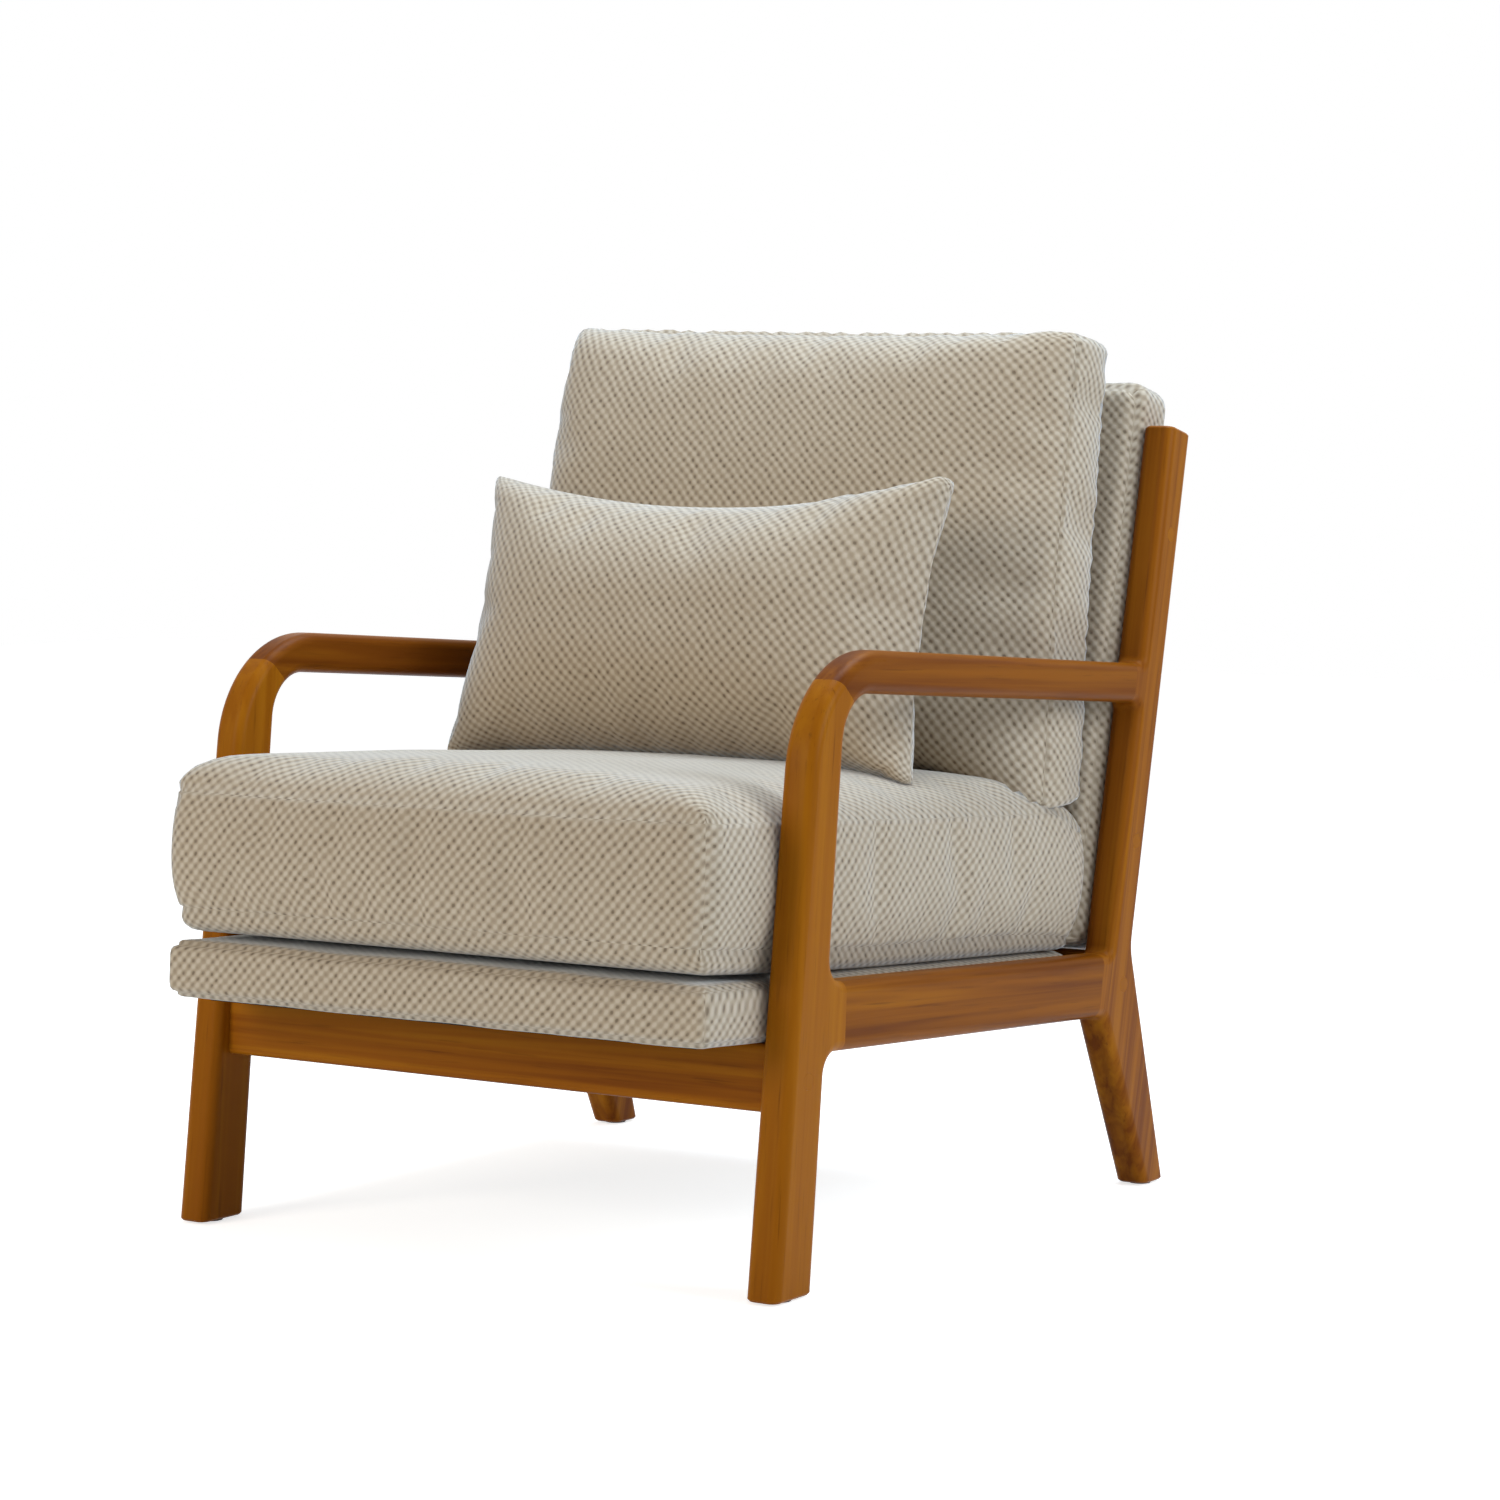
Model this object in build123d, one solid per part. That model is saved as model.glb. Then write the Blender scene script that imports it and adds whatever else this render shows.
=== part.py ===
"""Accent chair: two closed wood loops carry an upholstered deck and back panel,
with a loose seat cushion, back cushion and lumbar pillow. Millimetres, Z up, front to -Y."""
import os
from math import cos, radians, sin

from build123d import *

# Overall sizes and clearances
chair_width = 685.0
frame_stock = 34.0
edge_round = 10.0
end_chamfer = 2.0
glue_gap = 0.15
rest_gap = 0.3
soft_gap = 0.5

# Front leg, measured from the toe, and the bend into the arm
front_leg_rake = 7.4
front_leg_taper = 1.2
front_foot_depth = 61.0
bend_outer_radius = 115.0
bend_inner_radius = 46.0
leg_haunch = 24.0
haunch_radius = 21.0

# Arm, as a line that falls towards the back
arm_height = 570.0
arm_slope = 3.8
arm_depth = 39.0

# Side rails, which set the seat plane
seat_height = 277.0
seat_tilt = 3.3
rail_depth = 62.0

# Rear post with its knee
knee_setback = 649.0
knee_height = 245.0
knee_radius = 45.0
post_rake = 12.9
post_depth = 44.0
post_height = 752.0
post_haunch = 14.0
notch_radius = 9.0
rear_leg_splay = 16.0
rear_foot_depth = 44.0

# Tenons of arm and side rail, dowels of the mitre
tenon_width = 12.0
arm_tenon_height = 22.0
arm_tenon_length = 34.0
rail_tenon_height = 34.0
rail_tenon_length = 36.0
mitre_dowel_length = 44.0
mitre_dowel_spacing = 15.0
dowel_diameter = 8.0

# Cross rails with their bolts, barrel nuts, dowels and plugs
front_rail_setback = 46.0
cross_rail_thick = 22.0
front_rail_depth = 60.0
cross_rail_round = 5.0
rail_dowel_length = 36.0
rail_dowel_spacing = 38.0
bolt_diameter = 8.0
bolt_head_diameter = 13.0
bolt_head_height = 8.0
bolt_clearance = 0.25
plug_diameter = 15.0
plug_thick = 6.0
rail_bolt_reach = 50.0
barrel_diameter = 12.0
barrel_length = 16.0
barrel_setback = 40.0

# Floor glides
glide_diameter = 22.0
glide_thick = 5.0
glide_stand = 2.5
glide_pin_diameter = 4.0
glide_pin_length = 14.0

# Deck under the seat cushion
deck_overhang = 50.0
deck_rear_gap = 15.5
deck_thick = 55.0
deck_proud = 1.0
deck_corner_round = 10.0
deck_edge_round = 8.0
cover_thick = 2.0
deck_bar_thick = 28.0
deck_front_bar_width = 122.0
deck_rear_bar_width = 50.0
deck_side_bar_width = 45.0
strap_width = 50.0
strap_thick = 1.5
strap_hold = 18.0
deck_strap_count = 5
hem_width = 30.0
dust_cover_thick = 1.0

# Angle brackets with countersunk screws, and long screws up through the front rail
bracket_leg = 25.0
bracket_width = 22.0
bracket_thick = 2.5
bracket_end = 70.0
bracket_hole_inset = 6.0
screw_diameter = 4.0
screw_head_diameter = 8.0
screw_length = 18.0
long_screw_diameter = 5.0
long_screw_head = 10.0
long_screw_sink = 28.0
long_screw_reach = 18.0
long_screw_offset = 190.0

# Back panel between the posts
panel_gap = 1.0
panel_height = 573.0
panel_proud = 10.0
panel_corner_round = 25.0
panel_edge_round = 20.0
panel_side_foam = 5.0
panel_front_foam = 20.0
panel_rear_foam = 19.0
panel_bar_thick = 28.0
panel_bar_width = 60.0
panel_stile_width = 45.0
panel_strap_count = 4
panel_bolt_depth = 24.0
panel_bolt_places = (110.0, 420.0)
insert_diameter = 12.0
insert_length = 16.0

# Seat cushion, with how far its sides, front and back are drawn in between the corners
seat_cushion_gap = 1.0
seat_cushion_short = 2.0
seat_cushion_height = 138.0
seat_cushion_crown = 46.0
seat_cushion_reach = 190.0
seat_cushion_roll = 20.0
seat_cushion_tuck = 20.0
seat_cushion_corner = 14.0
seat_cushion_lean = 22.0
seat_cushion_draws = (4.0, 4.0, 4.0)

# Back cushion, with how far its sides, bottom and top are drawn in between the corners
back_cushion_gap = 3.0
back_cushion_taper = 4.0
back_cushion_height = 442.0
back_cushion_edge = 70.0
back_cushion_crown = 77.0
back_cushion_rear_crown = 26.0
back_cushion_reach = 150.0
back_cushion_bulge = 2.0
back_cushion_corner = 20.0
back_cushion_draws = (2.0, 20.0, 8.0)
back_cushion_tilt = 9.0

# Lumbar pillow, with how far its sides, bottom and top are drawn in between the corners
pillow_gap = 32.0
pillow_height = 292.0
pillow_thick = 168.0
pillow_reach = 108.0
pillow_corner = 14.0
pillow_draws = (6.0, 30.0, 33.0)
pillow_tilt = 17.0
pillow_shift = -17.5

# Cushion covers and the steps of their crowns
fabric_thick = 1.5
corner_growth = 0.12
draw_fade = 0.8
crown_steps = 3
settle_steps = 25

ON_BASE = (Align.CENTER, Align.CENTER, Align.MIN)
half_width = chair_width / 2
inner_half = half_width - frame_stock
stock_centre = half_width - frame_stock / 2


# Lines of the side view, each a point and a unit direction in Y and Z
def upright(y, z, lean):
    return Vector(y, z), Vector(sin(radians(lean)), cos(radians(lean)))


def falling(y, z, slope):
    return Vector(y, z), Vector(cos(radians(slope)), -sin(radians(slope)))


def beside(line, distance):
    point, way = line
    return point + Vector(-way.Y, way.X) * distance, way


def square_to(line, distance):
    point, way = line
    return point + way * distance, Vector(-way.Y, way.X)


def meet(first, second):
    (p, u), (q, v) = first, second
    gap = q - p
    return p + u * ((gap.X * v.Y - gap.Y * v.X) / (u.X * v.Y - u.Y * v.X))


def along(line, point):
    return (point - line[0]).dot(line[1])


floor_line = (Vector(0, glide_stand), Vector(1, 0))
leg_front = upright(0, 0, front_leg_rake)
leg_back = upright(front_foot_depth, 0, front_leg_rake - front_leg_taper)
arm_top = falling(0, arm_height, arm_slope)
arm_mid = beside(arm_top, -arm_depth / 2)
arm_bottom = beside(arm_top, -arm_depth)
rail_top = falling(0, seat_height, seat_tilt)
rail_mid = beside(rail_top, -rail_depth / 2)
rail_bottom = beside(rail_top, -rail_depth)
post_back = upright(knee_setback, knee_height, post_rake)
post_front = beside(post_back, post_depth)
post_joint = beside(post_front, post_haunch)
rear_leg_back = upright(knee_setback, knee_height, -rear_leg_splay)
leg_joint = square_to(rail_top, along(rail_top, meet(rail_top, leg_back)) + leg_haunch)

# Outline of one loop, with the corners rounded where the members flow together
front_toe = meet(leg_front, floor_line)
front_heel = meet(leg_back, floor_line)
rear_heel = meet(rear_leg_back, floor_line)
rear_toe = rear_heel - Vector(rear_foot_depth, 0)
bend_outer = meet(leg_front, arm_top)
bend_inner = meet(leg_back, arm_bottom)
knee = Vector(knee_setback, knee_height)
post_top_back = meet(post_back, (Vector(0, post_height), Vector(1, 0)))
post_top_front = meet(square_to(post_back, along(post_back, post_top_back)), post_front)

outline = FilletPolyline(
    front_toe, bend_outer, meet(arm_top, post_front), post_top_front, post_top_back, knee,
    rear_heel, rear_toe, meet(rail_bottom, post_front), meet(rail_bottom, leg_back), front_heel,
    radius=[0, bend_outer_radius, notch_radius, 0, 0, knee_radius,
            0, 0, notch_radius, haunch_radius, 0],
    close=True)
window = FilletPolyline(
    bend_inner, meet(arm_bottom, post_front), meet(rail_top, post_front), meet(rail_top, leg_back),
    radius=[bend_inner_radius, notch_radius, notch_radius, haunch_radius], close=True)
side_plane = Plane.YZ.offset(inner_half)
loop = extrude(side_plane * (make_face(outline) - make_face(window)), frame_stock)


# The long edges are rounded, the feet and the post's top only chamfered
def lies_on(edge, start, end):
    middle = (start + end) / 2
    centre = edge.center()
    return (Vector(centre.Y, centre.Z) - middle).length < 0.01


cut_ends = ((front_toe, front_heel), (rear_toe, rear_heel), (post_top_front, post_top_back))
long_edges = [edge for face in loop.faces().filter_by(Axis.X) for edge in face.edges()
              if not any(lies_on(edge, *end) for end in cut_ends)]
loop = fillet(long_edges, edge_round)
end_faces = loop.faces().filter_by(Axis.Z).sort_by(Axis.Z)[:2]
end_faces += [loop.faces().sort_by(Axis.Z)[-1]]
loop = chamfer([edge for face in end_faces for edge in face.edges()], end_chamfer)


# The loop is parted into four members at a mitre, a leg joint and a post joint
def region(*corners):
    return extrude(side_plane * make_face(Polyline(*corners, close=True)), frame_stock)


def beyond(line, reach=3 * chair_width):
    point, way = line
    side = Vector(way.Y, -way.X) * reach
    low, high = point - way * reach, point + way * reach
    return region(low, high, high + side, low + side)


def rail_band(margin=edge_round):
    top, bottom = beside(rail_top, margin), beside(rail_bottom, -margin)
    return region(meet(leg_joint, top), meet(post_joint, top),
                  meet(post_joint, bottom), meet(leg_joint, bottom))


mitre = (bend_inner, (bend_outer - bend_inner).normalized())
rear_post = loop & beyond(post_joint)
side_rail = loop & rail_band()
leg_and_arm = loop - beyond(post_joint) - rail_band()
armrest = leg_and_arm & beyond(mitre)
front_leg = leg_and_arm - beyond(mitre)


# Tenons run on from a member's middle line into a mortise that is a glue gap larger
def tenon(middle, joint, way, height, length, gap=0.0):
    start = meet(middle, joint) - way
    place = Plane((stock_centre, start.X, start.Y), x_dir=(0, way.X, way.Y), z_dir=(1, 0, 0))
    return place * Box(length + 1 + gap, height + 2 * gap, tenon_width + 2 * gap,
                       align=(Align.MIN, Align.CENTER, Align.CENTER))


arm_tenon = (arm_mid, post_joint, arm_top[1], arm_tenon_height, arm_tenon_length)
rail_rear_tenon = (rail_mid, post_joint, rail_top[1], rail_tenon_height, rail_tenon_length)
rail_front_tenon = (rail_mid, leg_joint, -rail_top[1], rail_tenon_height, rail_tenon_length)
armrest += tenon(*arm_tenon)
side_rail += [tenon(*rail_rear_tenon), tenon(*rail_front_tenon)]
rear_post -= [tenon(*arm_tenon, gap=glue_gap), tenon(*rail_rear_tenon, gap=glue_gap)]
front_leg -= tenon(*rail_front_tenon, gap=glue_gap)


# Dowels cross the mitre half way between the inner and outer curve of the bend
def rod(plane, diameter, length, align=Align.CENTER):
    return plane * Cylinder(diameter / 2, length, align=(Align.CENTER, Align.CENTER, align))


half_bend = radians(leg_front[1].get_angle(arm_top[1])) / 2
bend_cut = 1 / cos(half_bend) - 1
mitre_centre = (bend_outer + bend_inner - mitre[1] * (bend_outer_radius + bend_inner_radius)
                * bend_cut) / 2
mitre_across = Vector(-mitre[1].Y, mitre[1].X)
mitre_dowels = []
for offset in (-mitre_dowel_spacing / 2, mitre_dowel_spacing / 2):
    place = Plane((stock_centre + offset, mitre_centre.X, mitre_centre.Y),
                  z_dir=(0, mitre_across.X, mitre_across.Y))
    hole = rod(place, dowel_diameter + 2 * glue_gap, mitre_dowel_length + 2 * glue_gap)
    mitre_dowels.append(rod(place, dowel_diameter, mitre_dowel_length))
    armrest -= hole
    front_leg -= hole

# The seat plane follows the tops of the side rails
seat_plane = Plane((0, 0, seat_height), x_dir=(1, 0, 0),
                   z_dir=(0, sin(radians(seat_tilt)), cos(radians(seat_tilt))))
deck_under = deck_proud - deck_thick
front_rail_centre = (front_rail_setback + cross_rail_thick / 2, deck_under - front_rail_depth / 2)
post_middle = (along(rail_mid, meet(rail_mid, post_front))
               + along(rail_mid, meet(rail_mid, rear_leg_back))) / 2
rear_rail_centre = (post_middle, -rail_depth / 2)


def cross_rail(centre, depth):
    bar = Box(2 * inner_half, cross_rail_thick, depth)
    bar = fillet(bar.edges().filter_by(Axis.X), cross_rail_round)
    return seat_plane * Pos(0, *centre) * bar


front_rail = cross_rail(front_rail_centre, front_rail_depth)
rear_rail = cross_rail(rear_rail_centre, rail_depth)

# Each cross rail end takes a bolt, a barrel nut and two dowels, with a plug over the head
bolt_sink = plug_thick + bolt_head_height
rail_bolts = []
barrel_nuts = []
rail_dowels = []
bolt_plugs = []
panel_bolts = []
panel_inserts = []


def mirrored(shape):
    return mirror(shape, about=Plane.YZ)


def inward(y, z, depth):
    return Plane((half_width - depth, y, z), x_dir=(0, 1, 0), z_dir=(-1, 0, 0))


def cross_bolt(y, z, length):
    bolt = rod(inward(y, z, plug_thick), bolt_head_diameter, bolt_head_height, Align.MIN)
    return bolt + rod(inward(y, z, bolt_sink), bolt_diameter, length, Align.MIN)


def bolt_bore(y, z, length):
    bore = rod(inward(y, z, 0), plug_diameter + 2 * glue_gap, bolt_sink, Align.MIN)
    return bore + rod(inward(y, z, 0), bolt_diameter + 2 * bolt_clearance,
                      bolt_sink + length + bolt_clearance, Align.MIN)


def plug(y, z):
    return rod(inward(y, z, 0), plug_diameter, plug_thick, Align.MIN)


def bolted_rail(member, rail, centre):
    spot = (seat_plane * Pos(0, *centre)).position
    length = frame_stock - bolt_sink + rail_bolt_reach
    rail_bolts.append(cross_bolt(spot.Y, spot.Z, length))
    bolt_plugs.append(plug(spot.Y, spot.Z))
    member -= bolt_bore(spot.Y, spot.Z, length)
    rail -= [bolt_bore(spot.Y, spot.Z, length), mirrored(bolt_bore(spot.Y, spot.Z, length))]

    nut_place = seat_plane * Pos(inner_half - barrel_setback, *centre) * Rot(-90, 0, 0)
    nut = nut_place * Cylinder(barrel_diameter / 2, barrel_length)
    thread = rod(inward(spot.Y, spot.Z, 0), bolt_diameter + 2 * glue_gap, half_width, Align.MIN)
    nut_bore = nut_place * Pos(0, 0, -barrel_length / 2 - glue_gap) * Cylinder(
        barrel_diameter / 2 + glue_gap, barrel_length / 2 + cross_rail_thick, align=ON_BASE)
    barrel_nuts.append(nut - thread)
    rail -= [nut_bore, mirrored(nut_bore)]

    for offset in (-rail_dowel_spacing / 2, rail_dowel_spacing / 2):
        spot = (seat_plane * Pos(0, centre[0], centre[1] + offset)).position
        place = inward(spot.Y, spot.Z, frame_stock)
        hole = rod(place, dowel_diameter + 2 * glue_gap, rail_dowel_length + 2 * glue_gap)
        rail_dowels.append(rod(place, dowel_diameter, rail_dowel_length))
        member -= hole
        rail -= [hole, mirrored(hole)]
    return member, rail


front_leg, front_rail = bolted_rail(front_leg, front_rail, front_rail_centre)
rear_post, rear_rail = bolted_rail(rear_post, rear_rail, rear_rail_centre)


# Glides are pressed into a shallow seat under each foot
def glide(y, gap=0.0):
    disc = Pos(stock_centre, y, -gap) * Cylinder(
        glide_diameter / 2 + gap, glide_thick + 2 * gap, align=ON_BASE)
    pin = Pos(stock_centre, y, 0) * Cylinder(
        glide_pin_diameter / 2 + gap, glide_thick + glide_pin_length + gap,
        align=ON_BASE)
    return disc + pin


front_glide_y = (front_toe.X + front_heel.X) / 2
rear_glide_y = (rear_toe.X + rear_heel.X) / 2
front_leg -= glide(front_glide_y, glue_gap)
rear_post -= glide(rear_glide_y, glue_gap)

# Back plane, up the front of the posts with its normal towards the front
back_way = post_front[1]
back_origin = meet(rail_top, post_front)
back_plane = Plane((0, back_origin.X, back_origin.Y), x_dir=(1, 0, 0),
                   z_dir=(0, -back_way.Y, back_way.X))


# Upholstered panels share a rounded box, drawn smaller for what lies inside it
def soft_box(width, length, thick, corner, edge, shrink=0.0):
    box = Box(width - 2 * shrink, length - 2 * shrink, thick - 2 * shrink)
    box = fillet(box.edges().filter_by(Axis.Z), corner - shrink)
    ends = box.faces().filter_by(Axis.Z)
    return fillet([e for face in ends for e in face.edges()], edge - shrink)


def straps(span, run, count, across):
    pitch = span / count
    bands = []
    for index in range(count):
        shift = (index - (count - 1) / 2) * pitch
        size = (run, strap_width) if across else (strap_width, run)
        place = (0, shift) if across else (shift, 0)
        bands.append(Pos(*place, 0) * Box(*size, strap_thick, align=ON_BASE))
    return bands


# Deck, drawn about the middle of its underside in the seat plane
deck_half = inner_half - bracket_thick - soft_gap
deck_rear = rear_rail_centre[0] - cross_rail_thick / 2 - deck_rear_gap
deck_length = deck_overhang + deck_rear
deck_middle = deck_length / 2 - deck_overhang
deck_place = seat_plane * Pos(0, deck_middle, deck_under)
deck_lift = Pos(0, 0, deck_thick / 2)
deck_sizes = (2 * deck_half, deck_length, deck_thick, deck_corner_round, deck_edge_round)
deck_frame_inset = deck_corner_round + rest_gap
deck_frame_width = 2 * (deck_half - deck_frame_inset)
deck_frame_length = deck_length - 2 * deck_frame_inset
deck_frame_top = cover_thick + deck_bar_thick
deck_opening = Box(2 * (deck_half - hem_width), deck_length - 2 * hem_width, 3 * cover_thick)
deck_cover = deck_lift * soft_box(*deck_sizes)
deck_cover -= [deck_lift * soft_box(*deck_sizes, shrink=cover_thick), deck_opening]
deck_dust_cover = Pos(0, 0, cover_thick - dust_cover_thick) * Box(
    2 * (deck_half - hem_width - rest_gap), deck_length - 2 * (hem_width + rest_gap), dust_cover_thick,
    align=ON_BASE)
deck_envelope = Box(deck_frame_width + 2 * rest_gap, deck_frame_length + 2 * rest_gap,
                    deck_frame_top + 2 * strap_thick + rest_gap,
                    align=ON_BASE)
deck_foam = deck_lift * soft_box(*deck_sizes, shrink=cover_thick + rest_gap) - deck_envelope


def deck_bar(width, length, x, y):
    return Pos(x, y, cover_thick) * Box(width, length, deck_bar_thick,
                                        align=ON_BASE)


deck_side_length = deck_frame_length - deck_front_bar_width - deck_rear_bar_width
deck_side_x = (deck_frame_width - deck_side_bar_width) / 2
deck_side_y = (deck_front_bar_width - deck_rear_bar_width) / 2
deck_front_bar = deck_bar(deck_frame_width, deck_front_bar_width, 0,
                          (deck_front_bar_width - deck_frame_length) / 2)
deck_rear_bar = deck_bar(deck_frame_width, deck_rear_bar_width, 0,
                         (deck_frame_length - deck_rear_bar_width) / 2)
deck_side_bar = deck_bar(deck_side_bar_width, deck_side_length, deck_side_x, deck_side_y)
strap_place = Pos(0, deck_side_y, deck_frame_top)
deck_inside = deck_frame_width - 2 * deck_side_bar_width
deck_straps_long = [strap_place * band for band in straps(
    deck_inside, deck_side_length + 2 * strap_hold, deck_strap_count, across=False)]
deck_straps_cross = [strap_place * Pos(0, 0, strap_thick) * band for band in straps(
    deck_side_length, deck_inside + 2 * strap_hold, deck_strap_count, across=True)]


# One angle bracket: a leg under the deck and a leg up the inner face of the side rail
def angle_bracket():
    flat = Box(bracket_leg, bracket_width, bracket_thick, align=(Align.MAX, Align.CENTER, Align.MAX))
    stand = Box(bracket_thick, bracket_width, bracket_leg - bracket_thick,
                align=(Align.MAX, Align.CENTER, Align.MIN))
    return flat + stand


def countersunk_screw(gap=0.0):
    head = Cone(screw_head_diameter / 2 + gap, screw_diameter / 2 + gap, bracket_thick, align=ON_BASE)
    return head + Cylinder(screw_diameter / 2 + gap, screw_length + gap, align=ON_BASE)


def long_screw(gap=0.0):
    shank_length = front_rail_depth - long_screw_sink + cover_thick + long_screw_reach
    shank = Cylinder(long_screw_diameter / 2 + gap, shank_length + gap, align=ON_BASE)
    return shank + Cone(long_screw_head / 2 + gap, long_screw_diameter / 2, long_screw_head / 2,
                        align=ON_BASE)


into_rail = Pos(-bracket_thick, 0, bracket_leg - bracket_thick - bracket_hole_inset) * Rot(0, 90, 0)
into_deck = Pos(bracket_hole_inset - bracket_leg, 0, -bracket_thick)
bracket = angle_bracket() - [place * countersunk_screw(glue_gap) for place in (into_rail, into_deck)]
bracket_reach = deck_side_length / 2 - bracket_end
bracket_spots = [seat_plane * Pos(inner_half, deck_middle + deck_side_y + reach, deck_under)
                 for reach in (-bracket_reach, bracket_reach)]
deck_brackets = [spot * bracket for spot in bracket_spots]
screw_spots = [spot * place for spot in bracket_spots for place in (into_rail, into_deck)]
bracket_screws = [spot * countersunk_screw() for spot in screw_spots]
screw_bores = [spot * countersunk_screw(glue_gap) for spot in screw_spots]
side_rail -= screw_bores

rail_underside = seat_plane * Pos(long_screw_offset, front_rail_centre[0], deck_under - front_rail_depth)
sunk = rail_underside * Pos(0, 0, long_screw_sink)
rail_screws = [sunk * long_screw()]
long_bore = sunk * long_screw(glue_gap) + rail_underside * Cylinder(
    long_screw_head / 2 + 2 * glue_gap, long_screw_sink, align=ON_BASE)
front_rail -= [long_bore, mirrored(long_bore)]

# The deck pieces are laid in place and drilled for the screws that hold them
deck_cover, deck_dust_cover, deck_foam, deck_front_bar, deck_rear_bar, deck_side_bar = [
    deck_place * piece for piece in (
        deck_cover, deck_dust_cover, deck_foam, deck_front_bar, deck_rear_bar, deck_side_bar)]
deck_straps_long = [deck_place * band for band in deck_straps_long]
deck_straps_cross = [deck_place * band for band in deck_straps_cross]
deck_side_bar -= screw_bores
deck_cover -= screw_bores + [mirrored(bore) for bore in screw_bores]
deck_front_bar -= [long_bore, mirrored(long_bore)]
deck_dust_cover -= [long_bore, mirrored(long_bore)]

# Back panel, drawn about its middle in the back plane
panel_half = inner_half - panel_gap
panel_thick = (2 * cover_thick + panel_front_foam + 2 * strap_thick + panel_bar_thick + panel_rear_foam)
rail_corner = (seat_plane * Pos(0, rear_rail_centre[0] + cross_rail_thick / 2, 0)).position
panel_start = (Vector(rail_corner.Y, rail_corner.Z) - back_origin).dot(back_way) + rest_gap
panel_place = back_plane * Pos(0, panel_start + panel_height / 2, panel_proud - panel_thick / 2)
panel_sizes = (2 * panel_half, panel_height, panel_thick, panel_corner_round, panel_edge_round)
panel_frame_inset = cover_thick + panel_side_foam
panel_frame_width = 2 * (panel_half - panel_frame_inset)
panel_frame_height = panel_height - 2 * panel_frame_inset
panel_frame_back = cover_thick + panel_rear_foam - panel_thick / 2
panel_frame_front = panel_frame_back + panel_bar_thick
panel_body = panel_place * soft_box(*panel_sizes)
panel_cover = soft_box(*panel_sizes) - soft_box(*panel_sizes, shrink=cover_thick)
panel_envelope = Pos(0, 0, panel_frame_back - rest_gap) * Box(
    panel_frame_width + 2 * rest_gap, panel_frame_height + 2 * rest_gap,
    panel_bar_thick + 2 * strap_thick + 2 * rest_gap, align=ON_BASE)
panel_foam = soft_box(*panel_sizes, shrink=cover_thick + rest_gap) - panel_envelope
panel_front_half = Pos(0, 0, panel_frame_back + panel_bar_thick / 2) * Box(
    chair_width, 2 * panel_height, panel_thick, align=ON_BASE)
panel_foam_front = panel_foam & panel_front_half
panel_foam_rear = panel_foam - panel_front_half


def panel_bar(width, height, x, y):
    return Pos(x, y, panel_frame_back) * Box(width, height, panel_bar_thick,
                                             align=ON_BASE)


panel_stile_x = (panel_frame_width - panel_stile_width) / 2
panel_bar_y = (panel_frame_height - panel_bar_width) / 2
panel_inside = panel_frame_width - 2 * panel_stile_width
panel_top_bar = panel_bar(panel_inside, panel_bar_width, 0, panel_bar_y)
panel_bottom_bar = panel_bar(panel_inside, panel_bar_width, 0, -panel_bar_y)
panel_stile = panel_bar(panel_stile_width, panel_frame_height, panel_stile_x, 0)
outer_corners = panel_stile.edges().filter_by(Axis.Z).group_by(Axis.X)[-1]
panel_stile = fillet(outer_corners, panel_corner_round - panel_frame_inset)
panel_clear = panel_frame_height - 2 * panel_bar_width
panel_straps_up = [Pos(0, 0, panel_frame_front) * band for band in straps(
    panel_inside, panel_clear + 2 * strap_hold, panel_strap_count, across=False)]
panel_straps_cross = [Pos(0, 0, panel_frame_front + strap_thick) * band for band in straps(
    panel_clear, panel_inside + 2 * strap_hold, panel_strap_count, across=True)]

# Bolts through the posts reach threaded inserts in the panel's stiles
panel_stile, panel_top_bar, panel_bottom_bar, panel_cover, panel_foam_front, panel_foam_rear = [
    panel_place * piece for piece in (
        panel_stile, panel_top_bar, panel_bottom_bar, panel_cover, panel_foam_front, panel_foam_rear)]
panel_straps_up = [panel_place * band for band in panel_straps_up]
panel_straps_cross = [panel_place * band for band in panel_straps_cross]
insert_face = half_width - panel_frame_width / 2
panel_bolt_length = insert_face - bolt_sink + insert_length
for place in panel_bolt_places:
    spot = (back_plane * Pos(0, panel_start + place, -panel_bolt_depth)).position
    bore = bolt_bore(spot.Y, spot.Z, panel_bolt_length)
    insert_bore = rod(inward(spot.Y, spot.Z, insert_face), insert_diameter + 2 * glue_gap,
                      insert_length + 2 * glue_gap, Align.MIN)
    insert = rod(inward(spot.Y, spot.Z, insert_face), insert_diameter, insert_length, Align.MIN)
    panel_bolts.append(cross_bolt(spot.Y, spot.Z, panel_bolt_length))
    panel_inserts.append(insert - bore)
    bolt_plugs.append(plug(spot.Y, spot.Z))
    rear_post -= bore
    panel_stile -= [bore, insert_bore]
    panel_cover -= [bore, mirrored(bore)]
    panel_foam_front -= [bore, mirrored(bore)]
    panel_foam_rear -= [bore, mirrored(bore)]


# A cushion is lofted through outlines whose sides are drawn in between the corners
def cushion_outline(near_half, far_half, near, far, corner, side_draw, near_draw, far_draw):
    bite = corner * (1 - cos(radians(45)))
    near_side, near_bite = near_half - corner, near_half - bite
    far_side, far_bite = far_half - corner, far_half - bite
    waist, middle = (near_half + far_half) / 2 - side_draw, (near + far) / 2
    points = (
        (near_half, near + corner), (waist, middle), (far_half, far - corner), (far_bite, far - bite),
        (far_side, far), (0, far - far_draw), (-far_side, far), (-far_bite, far - bite),
        (-far_half, far - corner), (-waist, middle), (-near_half, near + corner), (-near_bite, near + bite),
        (-near_side, near), (0, near + near_draw), (near_side, near), (near_bite, near + bite),
        (near_half, near + corner))
    return make_face([ThreePointArc(*points[i:i + 3]) for i in range(0, len(points) - 1, 2)])


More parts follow.
